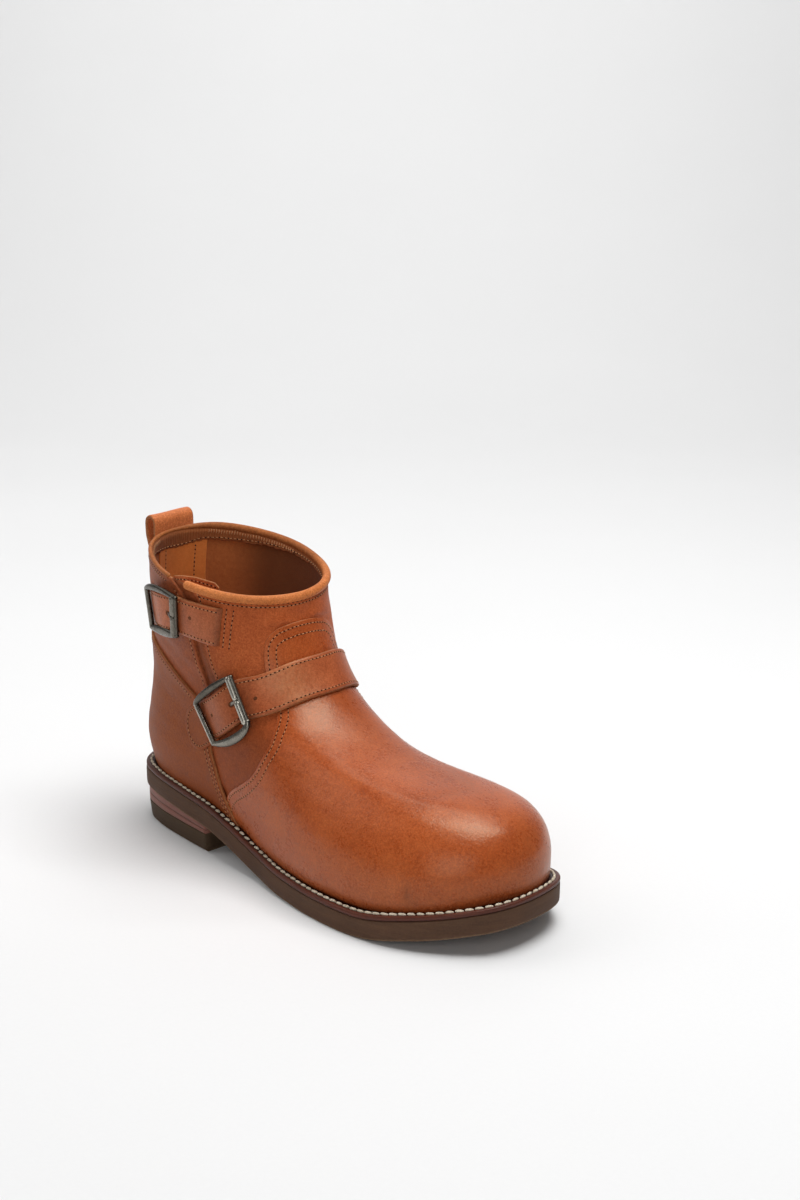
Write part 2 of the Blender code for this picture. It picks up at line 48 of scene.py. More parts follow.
WELT_THICK = 3.5
GAP = 0.3
HEEL_BREAST = 86.0
HEEL_INSET = 1.3
HEEL_TAPER = 1.2
TOP_PIECE_THICK = 11.3
UPPER_WALL = 2.2
COUNTER_TOP_OFF = 1.7
COLLAR_TILT = 0.062
STRAP_WIDTH, STRAP_THICK = 24.0, 2.2
TOP_STRAP_WIDTH = 22.5
BUCKLE_LENGTH = 31.4
LOOP_Y = 2.8
X_MID, Y_MID = 150.97, -2.68

OUTLINE = np.array([
    (8.0, 20.4, 20.4), (28.0, 30.8, 33.0), (60.0, 36.8, 36.0), (95.0, 40.8, 34.6), (130.0, 44.9, 34.4), (165.0, 52.3, 39.0),
    (195.0, 57.0, 45.2), (225.0, 58.2, 51.2), (250.0, 54.4, 53.0), (272.0, 44.8, 49.2), (290.0, 31.4, 39.0), (300.0, 17.3, 22.5)])
UNDERSIDE = np.array([(0.0, 22.3), (86.0, 16.3), (112.0, 11.1), (142.0, 3.4), (170.0, 0.7), (196.0, 0.0), (226.0, 0.0),
                      (264.0, 5.6), (303.0, 14.1)])
WIDTH_AT = np.array([0.05, 0.20, 0.40, 0.60, 0.80, 0.93])
SECTIONS = np.array([
    (6.6,   35.6,   296.8, 27.1, 6.0,   20.0, 31.2, 39.6, 52.0, 54.0, 39.0,   21.6, 28.4, 25.0, 31.5, 41.5, 36.0),
    (2.6,   44.7,   297.2, 41.2, 6.0,   21.2, 33.7, 42.6, 54.7, 55.7, 39.9,   22.4, 30.0, 27.8, 34.0, 43.4, 38.0),
    (0.8,   56.3,   292.5, 53.8, 6.0,   21.9, 35.2, 43.5, 52.4, 51.7, 36.4,   22.6, 31.8, 32.2, 33.6, 40.1, 36.9),
    (2.0,   68.0,   282.4, 62.5, 6.0,   21.2, 35.0, 42.9, 47.8, 44.8, 31.3,   21.6, 32.2, 34.5, 32.1, 32.5, 31.4),
    (4.5,   80.4,   264.7, 68.2, 6.0,   20.3, 34.1, 42.2, 44.0, 39.0, 27.4,   20.3, 31.7, 35.1, 31.5, 23.6, 21.0),
    (7.1,   94.8,   236.0, 72.8, 6.0,   19.1, 32.9, 41.3, 42.2, 36.3, 25.7,   19.0, 31.0, 35.2, 32.8, 20.1, 11.6),
    (8.7,   109.3,   203.5, 78.8, 5.0,   19.1, 32.9, 40.1, 41.4, 34.7, 23.6,   18.4, 31.0, 35.5, 34.8, 24.2, 13.3),
    (9.8,   123.9,   175.0, 88.9, 4.0,   19.0, 33.2, 40.0, 41.5, 34.6, 22.6,   18.2, 31.3, 36.6, 36.2, 28.3, 17.3),
    (10.6,   138.2,   152.2, 104.8, 2.0,   18.8, 33.9, 41.6, 42.6, 35.5, 22.8,   18.1, 32.6, 39.1, 39.1, 32.2, 20.8),
    (11.6,   152.3,   140.0, 125.1, 1.0,   18.7, 34.4, 42.9, 44.4, 37.4, 24.2,   18.3, 33.4, 41.4, 42.4, 35.5, 23.1),
    (12.9,   165.8,   135.0, 142.9, 0.0,   19.2, 35.2, 44.2, 45.7, 38.6, 25.1,   18.8, 34.5, 43.0, 44.1, 37.0, 24.0),
    (14.4,   178.2,   132.1, 157.5, 0.0,   19.9, 36.4, 45.8, 46.8, 39.3, 25.9,   19.7, 35.8, 44.6, 44.9, 37.3, 24.6)])
SAG_ENDS = 4.0
COUNTER_TOP = np.array([(0.0, 7.0), (36.0, 6.9), (56.0, 6.6), (66.0, 6.2), (73.0, 5.8), (80.0, 5.3)])
INSTEP_PATH = np.array([(52.0, 2.7), (58.0, 3.2), (71.5, 4.45), (90.0, 5.85), (108.5, 7.0), (124.0, 7.55), (138.0, 7.92),
                        (160.0, 8.35), (180.0, 8.45), (200.0, 8.35), (222.0, 7.92), (236.0, 7.55), (251.5, 7.0),
                        (270.0, 5.85), (288.5, 4.45)])
TOP_PATH = np.array([(26.0, 8.45), (36.0, 8.5), (47.0, 8.65), (60.0, 8.92), (75.0, 9.25), (90.0, 9.5), (106.0, 9.62),
                     (122.0, 9.68), (138.0, 9.68)])

# Lines on the upper that the CAD's panels only hint at: section index, degrees round from the back seam.
VAMP_LATERAL = [(0.0, 69.5), (0.95, 72.5), (2.1, 81.0), (3.08, 88.0), (4.55, 97.5), (5.98, 113.0), (7.0, 127.5), (8.0, 137.0),
                (8.58, 141.3), (9.25, 145.5), (9.6, 149.8), (9.9, 157.0)]
SHIELD = [(9.9, 157.0), (10.06, 167.0), (10.1, 176.0), (10.06, 185.5), (9.9, 196.0)]
VAMP_MEDIAL = [(9.9, 196.0), (9.6, 204.0), (9.25, 208.5), (8.58, 213.5), (8.0, 219.5), (7.0, 232.5), (5.98, 247.0), (4.55, 262.5),
               (3.08, 272.0), (2.1, 279.0), (0.95, 287.5), (0.0, 290.5)]
GUSSET_BACK = np.array([(0.0, 86.0), (6.0, 86.0), (6.78, 88.5), (7.25, 91.5), (8.0, 95.3), (8.72, 97.8), (9.6, 98.6), (10.2, 97.8),
                        (10.53, 95.6), (10.77, 91.5), (11.0, 86.5)])
GUSSET_FRONT = np.array([(0.0, 97.0), (6.0, 97.0), (6.9, 98.5), (7.65, 101.8), (8.58, 105.5), (9.6, 108.0), (10.4, 108.3), (10.75, 106.0),
                         (11.0, 101.5)])
GUSSET_TOP = np.array([(86.0, 11.02), (90.0, 11.12), (98.0, 11.30), (109.0, 11.40), (118.0, 11.40), (122.0, 11.22)])
FACING_LOW = np.array([(101.0, 10.72), (241.0, 10.72), (259.0, 10.70), (287.0, 10.56), (312.0, 10.42), (333.0, 10.36), (354.0, 10.12), (372.0, 10.18), (400.0, 10.42),
                       (445.0, 10.6)])
COUNTER_FRONT = np.array([(0.0, 76.0), (0.45, 74.6), (1.07, 72.6), (1.93, 71.6), (3.03, 70.4), (4.4, 71.5), (5.83, 73.5)])


# ---- curves --------------------------------------------------------------------------------------------------------
def spline_matrix(knots, at):
    """Natural cubic spline as a matrix, so that values at `at` are the matrix times the values at the knots."""
    knots, at = np.asarray(knots, float), np.atleast_1d(np.asarray(at, float))
    n, h = len(knots), np.diff(knots)
    a, b = np.zeros((n, n)), np.zeros((n, n))
    a[0, 0] = a[-1, -1] = 1.0
    for i in range(1, n - 1):
        a[i, i - 1 : i + 2] = h[i - 1], 2 * (h[i - 1] + h[i]), h[i]
        b[i, i - 1 : i + 2] = 6 / h[i - 1], -6 / h[i - 1] - 6 / h[i], 6 / h[i]
    bend = np.linalg.solve(a, b)
    k = np.clip(np.searchsorted(knots, at) - 1, 0, n - 2)
    p, q = (knots[k + 1] - at) / h[k], (at - knots[k]) / h[k]
    one = np.eye(n)
    return (p[:, None] * one[k] + q[:, None] * one[k + 1]
            + ((p**3 - p) * h[k] ** 2 / 6)[:, None] * bend[k] + ((q**3 - q) * h[k] ** 2 / 6)[:, None] * bend[k + 1])


def spline(table, at):
    return spline_matrix(table[:, 0], at) @ table[:, 1]


def monotone(table, at):
    """Cubic through the table that never overshoots it."""
    x, y = table[:, 0], table[:, 1]
    h = np.diff(x)
    slope = np.diff(y) / h
    m = np.concatenate([slope[:1], np.zeros(len(x) - 2), slope[-1:]])
    for i in range(1, len(x) - 1):
        if slope[i - 1] * slope[i] > 0:
            w1, w2 = 2 * h[i] + h[i - 1], h[i] + 2 * h[i - 1]
            m[i] = (w1 + w2) / (w1 / slope[i - 1] + w2 / slope[i])
    at = np.clip(at, x[0], x[-1])
    k = np.clip(np.searchsorted(x, at) - 1, 0, len(x) - 2)
    t = (at - x[k]) / h[k]
    return ((2 * t**3 - 3 * t**2 + 1) * y[k] + (t**3 - 2 * t**2 + t) * h[k] * m[k]
            + (3 * t**2 - 2 * t**3) * y[k + 1] + (t**3 - t**2) * h[k] * m[k + 1])


def ease(a, b, x):
    t = np.clip((np.asarray(x, float) - a) / (b - a), 0, 1)
    return t * t * (3 - 2 * t)


def hump(x, width):
    return np.exp(-((x / width) ** 2))


# ---- sole lines ----------------------------------------------------------------------------------------------------
def underside(x):
    return monotone(UNDERSIDE, np.asarray(x, float))


def welt_top(x):
    return underside(x) + OUTSOLE_THICK + SOLE_GAP + WELT_THICK


def round_ended(stations, values, at, length):
    r = values / np.sqrt(stations * (length - stations))
    r = np.concatenate([[r[0] + 0.3 * (r[0] - r[1])], r, [r[-1] + 0.3 * (r[-1] - r[-2])]])
    knots = np.concatenate([[0.0], stations, [length]])
    return monotone(np.column_stack([knots, r]), at) * np.sqrt(np.maximum(at * (length - at), 0.0))


def outline_loop(count, inset=0.0):
    """The sole's outline as a loop from the heel along the lateral side to the toe and back, drawn in by inset."""
    turn = np.arange(count) * 2 * np.pi / count
    x = (1 - np.cos(turn)) / 2 * SOLE_LENGTH
    lateral = -round_ended(OUTLINE[:, 0], OUTLINE[:, 1], x, SOLE_LENGTH)
    medial = round_ended(OUTLINE[:, 0], OUTLINE[:, 2], x, SOLE_LENGTH)
    loop = np.column_stack([x, np.where(turn <= np.pi, lateral, medial)])
    along = np.roll(loop, -1, 0) - np.roll(loop, 1, 0)
    along /= np.linalg.norm(along, axis=1)[:, None]
    return loop + inset * np.column_stack([-along[:, 1], along[:, 0]])


# ---- the upper's surface -------------------------------------------------------------------------------------------
def upper_at(s, turn):
    """Points of the upper's outside. s is the section index, turn is degrees from the back seam by the lateral side."""
    s, turn = np.broadcast_arrays(np.asarray(s, float), np.radians(np.asarray(turn, float)))
    shape, s, turn = s.shape, s.ravel(), turn.ravel()
    row = spline_matrix(np.arange(len(SECTIONS)), s) @ SECTIONS
    u = (1 - np.cos(turn)) / 2
    root = np.sqrt(WIDTH_AT * (1 - WIDTH_AT))
    weights = spline_matrix(np.concatenate([[0.0], WIDTH_AT, [1.0]]), u)

    def half(columns):
        r = columns / root
        first, last = r[:, :1] + 0.3 * (r[:, :1] - r[:, 1:2]), r[:, -1:] + 0.3 * (r[:, -1:] - r[:, -2:-1])
        return (np.hstack([first, r, last]) * weights).sum(1) * np.abs(np.sin(turn)) / 2

    y = row[:, 4] * u**1.3 + np.where(np.sin(turn) >= 0, -half(row[:, 5:11]), half(row[:, 11:17]))
    x = row[:, 0] + (row[:, 2] - row[:, 0]) * u
    z = row[:, 1] + (row[:, 3] - row[:, 1]) * u
    chord = underside(row[:, 0]) + (underside(row[:, 2]) - underside(row[:, 0])) * u
    z += np.clip(1 - s / SAG_ENDS, 0, 1) ** 1.5 * (underside(x) - chord)
    z += COLLAR_TILT * y * np.clip((s - 4) / 7, 0, 1) ** 1.5
    z += np.clip(1 - s, 0, 1) ** 2 * (welt_top(x) + GAP - (row[:, 1] + (row[:, 3] - row[:, 1]) * u + underside(x) - chord))
    return np.column_stack([x, y, z]).reshape(shape + (3,))


def upper_frame(s, turn):
    """Point, outward normal and the two surface derivatives."""
    e, f = 1e-3, 1e-2
    s, turn = np.broadcast_arrays(np.asarray(s, float), np.asarray(turn, float))
    by_s = (upper_at(s + e, turn) - upper_at(s - e, turn)) / (2 * e)
    by_turn = (upper_at(s, turn + f) - upper_at(s, turn - f)) / (2 * f)
    normal = np.cross(by_turn, by_s)
    normal /= np.linalg.norm(normal, axis=-1, keepdims=True)
    return upper_at(s, turn), normal, by_s, by_turn


def upper_off(s, turn, off):
    """Points at a distance off the upper's outside, inside when negative."""
    point, normal, _, _ = upper_frame(s, turn)
    return point + normal * np.broadcast_to(np.asarray(off, float), point.shape[:-1])[..., None]


def step_across(s, turn, step):
    """Moves points of the surface by a short vector."""
    _, normal, by_s, by_turn = upper_frame(s, turn)
    a, b, c = (by_s * by_s).sum(-1), (by_s * by_turn).sum(-1), (by_turn * by_turn).sum(-1)
    p, q = (by_s * step).sum(-1), (by_turn * step).sum(-1)
    det = a * c - b * b
    return s + (c * p - b * q) / det, turn + (a * q - b * p) / det


def strip_map(path, width_steps=6, samples=300):
    """Maps a strap's own coordinates, along and across, to the upper's section index and turn."""
    turns = np.linspace(path[0, 0], path[-1, 0], samples)
    sections = spline(path, turns)
    points = upper_at(sections, turns)
    run = np.concatenate([[0.0], np.cumsum(np.linalg.norm(np.diff(points, axis=0), axis=1))])

    def place(along, across):
        along, across = np.broadcast_arrays(np.asarray(along, float), np.asarray(across, float))
        shape, along, across = along.shape, along.ravel(), across.ravel()
        turn, s = np.interp(along, run, turns), np.interp(along, run, sections)
        ahead = upper_at(np.interp(along + 1, run, sections), np.interp(along + 1, run, turns))
        behind = upper_at(np.interp(along - 1, run, sections), np.interp(along - 1, run, turns))
        _, normal, _, _ = upper_frame(s, turn)
        side = np.cross(normal, ahead - behind)
        for _ in range(width_steps):
            side -= normal * (side * normal).sum(1, keepdims=True)
            side /= np.linalg.norm(side, axis=1, keepdims=True)
            s, turn = step_across(s, turn, side * (across / width_steps)[:, None])
            _, normal, _, _ = upper_frame(s, turn)
        return s.reshape(shape), turn.reshape(shape)

    return place, run[-1], lambda turn: float(np.interp(turn, turns, run))


def run_of(points):
    return np.concatenate([[0.0], np.cumsum(np.linalg.norm(np.diff(points, axis=0), axis=1))])


def line_on_upper(table, count):
    """Smooth line through (section, turn) points, evenly spaced over the surface."""
    table = np.array(table, float)
    chord = run_of(upper_at(table[:, 0], table[:, 1]))
    m = spline_matrix(chord, np.linspace(0, chord[-1], count * 4))
    s, t = m @ table[:, 0], m @ table[:, 1]
    run = run_of(upper_at(s, t))
    at = np.linspace(0, run[-1], count)
    return np.interp(at, run, s), np.interp(at, run, t)


def beside(s, t, d):
    """The line moved d mm to its left over the surface, seen from outside."""
    p, normal, _, _ = upper_frame(s, t)
    side = np.cross(normal, np.gradient(p, axis=0))
    side /= np.linalg.norm(side, axis=1, keepdims=True)
    return step_across(s, t, side * d)


# ---- the shapes that leather takes ---------------------------------------------------------------------------------
def vamp_edge(s):
    """Turn of the vamp's lateral and medial edge at a section."""
    lateral = np.array(VAMP_LATERAL + [(SHIELD[1][0], 167.0), (10.1, 176.0)])
    medial = np.array([(10.1, 176.0), (SHIELD[3][0], 185.5)] + VAMP_MEDIAL)[::-1]
    return monotone(lateral, s), monotone(medial, s)


def ripple(s, t):
    """Slow unevenness of a lasted upper, in mm."""
    a, b = np.asarray(s, float), np.radians(t)
    return (0.16 * np.sin(1.9 * a + 3.1 * b + 0.4) * np.sin(2.3 * b - 0.7 * a + 1.1) + 0.11 * np.sin(3.7 * a - 4.3 * b + 2.0)
            * np.sin(5.1 * b + 1.3) + 0.07 * np.sin(6.1 * a + 7.7 * b))


def under_vamp(s, t):
    """1 where the shaft leather lies under the vamp or close to its edge, falling to 0 away from it."""
    left, right = vamp_edge(s)
    _, _, by_s, by_turn = upper_frame(s, t)
    wide, high = np.linalg.norm(by_turn, axis=-1), np.linalg.norm(by_s, axis=-1)
    away = np.maximum(np.maximum((left - t) * wide, (t - right) * wide), (s - SHIELD[2][0]) * high)
    return 1 - ease(2.0, 13.0, away)


def vamp_off(s, t):
    """Outside of the vamp over the upper's surface."""
    s, t = np.broadcast_arrays(np.asarray(s, float), np.asarray(t, float))
    high = 0.45 + 0.45 * ripple(s, t) * ease(0.2, 1.5, s)
    # edge of the toe puff: a faint step that runs over the toe
    line = 4.36 + 0.22 * (t - 152.5) / 52 + 0.05 * np.sin(np.radians(t) * 9)
    window = ease(138, 156, t) * (1 - ease(206, 226, t))
    high -= window * (0.16 * hump(s - line, 0.10) - 0.06 * hump(s - line + 0.28, 0.2) + 0.08 * ease(-0.1, 0.5, s - line) * (1 - ease(1.2, 2.4, s - line)))
    # creases where the forefoot bends, faint because the boot is new
    for s0, t0, slope, length, depth, width in ((5.55, 136.0, 0.020, 11.0, 0.09, 0.06), (5.15, 126.0, 0.030, 10.0, 0.08, 0.06),
                                                (5.8, 224.0, -0.020, 12.0, 0.11, 0.06), (5.3, 236.0, -0.028, 10.0, 0.1, 0.06),
                                                (6.45, 150.0, 0.012, 12.0, 0.08, 0.05), (6.7, 204.0, -0.012, 12.0, 0.08, 0.05)):
        away = s - s0 - slope * (t - t0)
        high -= depth * (hump(away, width) - 0.55 * hump(away - 2.2 * width, 1.5 * width)) * hump(t - t0, length)
    # pull of the lasting at the feather line, and the knock in the lateral edge
    b = np.radians(t)
    pull = np.sin(41 * b + 1.7 * np.sin(5 * b)) + 0.6 * np.sin(67 * b + 2.1)
    high += 0.10 * pull * hump(s - 0.45, 0.3) * ease(95, 115, t) * (1 - ease(245, 265, t))
    high -= 0.42 * hump(s - 0.66, 0.26) * hump(t - 137.0, 1.0) - 0.15 * hump(s - 0.75, 0.3) * hump(t - 139.2, 1.2)
    return high


def shaft_off(s, t):
    """Outside of the shaft, without the step at the gusset."""
    s, t = np.broadcast_arrays(np.asarray(s, float), np.asarray(t, float))
    high = -0.9 * under_vamp(s, t) + 1.3 * ripple(s, t) * ease(5.5, 7.5, s) * (1 - ease(10.2, 10.9, s))
    # soft folds of the ankle, below the straps
    high -= 0.45 * hump(s - 7.6 - 0.012 * (t - 60), 0.22) * hump(t - 60, 22) * ease(6.9, 7.3, s)
    high -= 0.40 * hump(s - 8.2 + 0.010 * (t - 285), 0.25) * hump(t - 285, 26)
    return high


def counter_off(s, t):
    return COUNTER_TOP_OFF + 0.8 * ripple(s, t) * ease(0.6, 2.0, s)


# ---- meshes --------------------------------------------------------------------------------------------------------
class Build:
    """Points and faces of one piece, in millimetres, with a material slot for each face and named values at the points."""

    def __init__(self):
        self.points, self.faces, self.slots, self.values, self.count = [], [], [], [], 0

    def add(self, points, faces, slot=0, value=None):
        points = np.asarray(points, float).reshape(-1, 3)
        faces = [tuple(int(i) for i in f) for f in faces]
        six = 0.0
        for f in faces:
            for a, b in zip(f[1:-1], f[2:]):
                six += float(np.dot(points[f[0]], np.cross(points[a], points[b])))
        if six < 0:
            faces = [f[::-1] for f in faces]
        self.extend(points, faces, slot, value)

    def extend(self, points, faces, slot=0, value=None):
        self.points.append(points)
        self.values.append(np.zeros(len(points)) if value is None else np.asarray(value, float).ravel())
        base = self.count
        self.faces += [tuple(i + base for i in f) for f in faces]
        self.slots += [slot] * len(faces) if np.isscalar(slot) else list(slot)
        self.count += len(points)


def turned_out(points, faces):
    """True if the closed faces look outward."""
    tri = np.array([(f[0], a, b) for f in faces for a, b in zip(f[1:-1], f[2:])])
    p = points - points.mean(0)
    return np.einsum("ij,ij->", p[tri[:, 0]], np.cross(p[tri[:, 1]], p[tri[:, 2]])) > 0


def piece(name, build, materials, replaces=(), smooth=True):
    points = (np.vstack(build.points) - (X_MID, Y_MID, 0.0)) * 0.001
    mesh = bpy.data.meshes.new(name)
    mesh.from_pydata(points.tolist(), [], build.faces)
    for material in materials:
        mesh.materials.append(material)
    mesh.polygons.foreach_set("material_index", np.array(build.slots, dtype=np.int32))
    mesh.polygons.foreach_set("use_smooth", np.full(len(build.faces), smooth))
    mark = mesh.attributes.new("mark", "FLOAT", "POINT")
    mark.data.foreach_set("value", np.concatenate(build.values).astype(np.float32))
    mesh.update()
    thing = bpy.data.objects.new(name, mesh)
    bpy.context.scene.collection.objects.link(thing)
    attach(thing, "root")
    if replaces:
        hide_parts(*replaces)
    return thing


def grid_faces(n, m, base=0, flip=False, wrap=False):
    i, k = np.meshgrid(np.arange(n - 1), np.arange(m if wrap else m - 1), indexing="ij")
    l = (k + 1) % m
    a, b, c, d = i * m + k, i * m + l, (i + 1) * m + l, (i + 1) * m + k
    quads = np.stack([a, d, c, b] if flip else [a, b, c, d], -1).reshape(-1, 4) + base
    return [tuple(int(v) for v in q) for q in quads]


def rim_lines(grid, sides, steps=(0.3, 0.85)):
    """Adds lines just inside the named sides of a grid of (section, turn, distance from an edge)."""
    for side in sides:
        if side in ("left", "right"):
            grid = grid.transpose(1, 0, 2)
        if side in ("right", "top"):
            grid = grid[::-1]
        seg = np.linalg.norm(upper_at(grid[1, :, 0], grid[1, :, 1]) - upper_at(grid[0, :, 0], grid[0, :, 1]), axis=1)
        rows = [grid[0].copy()]
        rows[0][:, 2] = 0
        for i, d in enumerate(steps):
            f = np.minimum(d / np.maximum(seg, 1e-6), 0.32 * (i + 1))
            row = grid[0] + (grid[1] - grid[0]) * f[:, None]
            row[:, 2] = np.minimum(grid[1, :, 2], d)
            rows.append(row)
        grid = np.concatenate([np.array(rows), grid[1:]])
        if side in ("right", "top"):
            grid = grid[::-1]
        if side in ("left", "right"):
            grid = grid.transpose(1, 0, 2)
    return grid


def rim_fall(d, thick):
    """How far a cut edge is rounded down at a distance from it."""
    return thick * np.interp(d, [0.0, 0.3, 0.85], [0.52, 0.14, 0.0])


def slab(build, s, t, high, low, near=None, top_slot=0, edge_slot=1, value=None, place=upper_off, under_slot=None):
    """Closed sheet of leather over a grid of the surface, between two heights."""
    n, m = s.shape
    top, bottom = place(s, t, high).reshape(-1, 3), place(s, t, low).reshape(-1, 3)
    faces = grid_faces(n, m)
    slots = [top_slot] * len(faces)
    if near is not None:
        rim = (near[:-1, :-1] + near[1:, 1:] + near[1:, :-1] + near[:-1, 1:]).ravel() / 4 < 0.2
        slots = [edge_slot if r else top_slot for r in rim]
    under = grid_faces(n, m, n * m, flip=True)
    faces, slots = faces + under, slots + [top_slot if under_slot is None else under_slot] * len(under)
    ring = ([(0, k) for k in range(m - 1)] + [(i, m - 1) for i in range(n - 1)] + [(n - 1, k) for k in range(m - 1, 0, -1)]
            + [(i, 0) for i in range(n - 1, 0, -1)])
    ring = [i * m + k for i, k in ring]
    walls = [(b, a, a + n * m, b + n * m) for a, b in zip(ring, ring[1:] + ring[:1])]
    faces, slots = faces + walls, slots + [edge_slot] * len(walls)
    points = np.vstack([top, bottom])
    if not turned_out(points, faces):
        faces = [f[::-1] for f in faces]
    v = np.zeros(n * m) if value is None else np.broadcast_to(value, s.shape).ravel()
    build.extend(points, faces, slots, np.concatenate([v, np.zeros(n * m)]))


def sweep(build, path, up, wide, high, sides=16, slot=0, closed=False, caps="round", value=None):
    """Bar with an elliptic section along a path: wide across the path, high along up."""
    path, up = np.asarray(path, float), np.asarray(up, float)
    wide, high = np.broadcast_to(wide, len(path)).astype(float), np.broadcast_to(high, len(path)).astype(float)
    up = np.broadcast_to(up, path.shape)
    if caps == "round" and not closed:
        for end in (0, -1):
            way = path[end] - path[1 if end == 0 else -2]
            way /= np.linalg.norm(way)
            a = np.radians([28, 52, 72, 84])
            r = min(wide[end], high[end])
            extra, scale = path[end] + way * (r * np.sin(a))[:, None], np.cos(a)
            if end == 0:
                extra, scale = extra[::-1], scale[::-1]
            parts = lambda x, y: np.concatenate([y, x] if end == 0 else [x, y])
            path, up = parts(path, extra), parts(up, np.repeat(up[end][None], 4, 0))
            wide, high = parts(wide, wide[end] * scale), parts(high, high[end] * scale)
    way = np.roll(path, -1, 0) - np.roll(path, 1, 0) if closed else np.gradient(path, axis=0)
    way /= np.linalg.norm(way, axis=1)[:, None]
    side = np.cross(way, up)
    side /= np.linalg.norm(side, axis=1)[:, None]
    lift = np.cross(side, way)
    turn = np.arange(sides) * 2 * np.pi / sides
    rings = path[:, None] + wide[:, None, None] * np.cos(turn)[None, :, None] * side[:, None] + high[:, None, None] * np.sin(turn)[None, :, None] * lift[:, None]
    n = len(path)
    faces = grid_faces(n, sides, wrap=True)
    if closed:
        faces += [((n - 1) * sides + k, (n - 1) * sides + (k + 1) % sides, (k + 1) % sides, k) for k in range(sides)]
    else:
        faces += [tuple(range(sides - 1, -1, -1)), tuple((n - 1) * sides + k for k in range(sides))]
    points = rings.reshape(-1, 3)
    if not turned_out(points, faces):
        faces = [f[::-1] for f in faces]
    if isinstance(value, np.ndarray):      # along the path
        value = np.repeat(np.pad(value, (n - len(value)) // 2, "edge"), sides)
    elif isinstance(value, tuple):      # at the flanks and along the top
        # painted highlight: value[0] at the flanks, rising to value[1] along the top
        value = np.tile(value[0] + (value[1] - value[0]) * np.clip(np.sin(turn), 0, 1) ** 1.3, n)
    build.extend(points, faces, slot, None if value is None else np.broadcast_to(value, len(points)))


def loft(build, rings, slot=0, value=None, caps=True, closed=False):
    rings = np.asarray(rings, float)
    n, m = rings.shape[:2]
    faces = grid_faces(n, m, wrap=True)
    if closed:
        faces += [((n - 1) * m + k, (n - 1) * m + (k + 1) % m, (k + 1) % m, k) for k in range(m)]
    slots = [slot] * len(faces)
    if caps and not closed:
        for base, flip in ((0, True), ((n - 1) * m, False)):   # a ladder of quads from side to side
            half = m // 2
            for k in range(half):
                f = [base + k, base + k + 1, base + (m - k - 1) % m, base + (m - k) % m]
                f = list(dict.fromkeys(f))
                if len(f) > 2:
                    faces.append(tuple(f[::-1] if flip else f))
                    slots.append(slot)
    points = rings.reshape(-1, 3)
    if not turned_out(points, faces):
        faces = [f[::-1] for f in faces]
    build.extend(points, faces, slots, value)


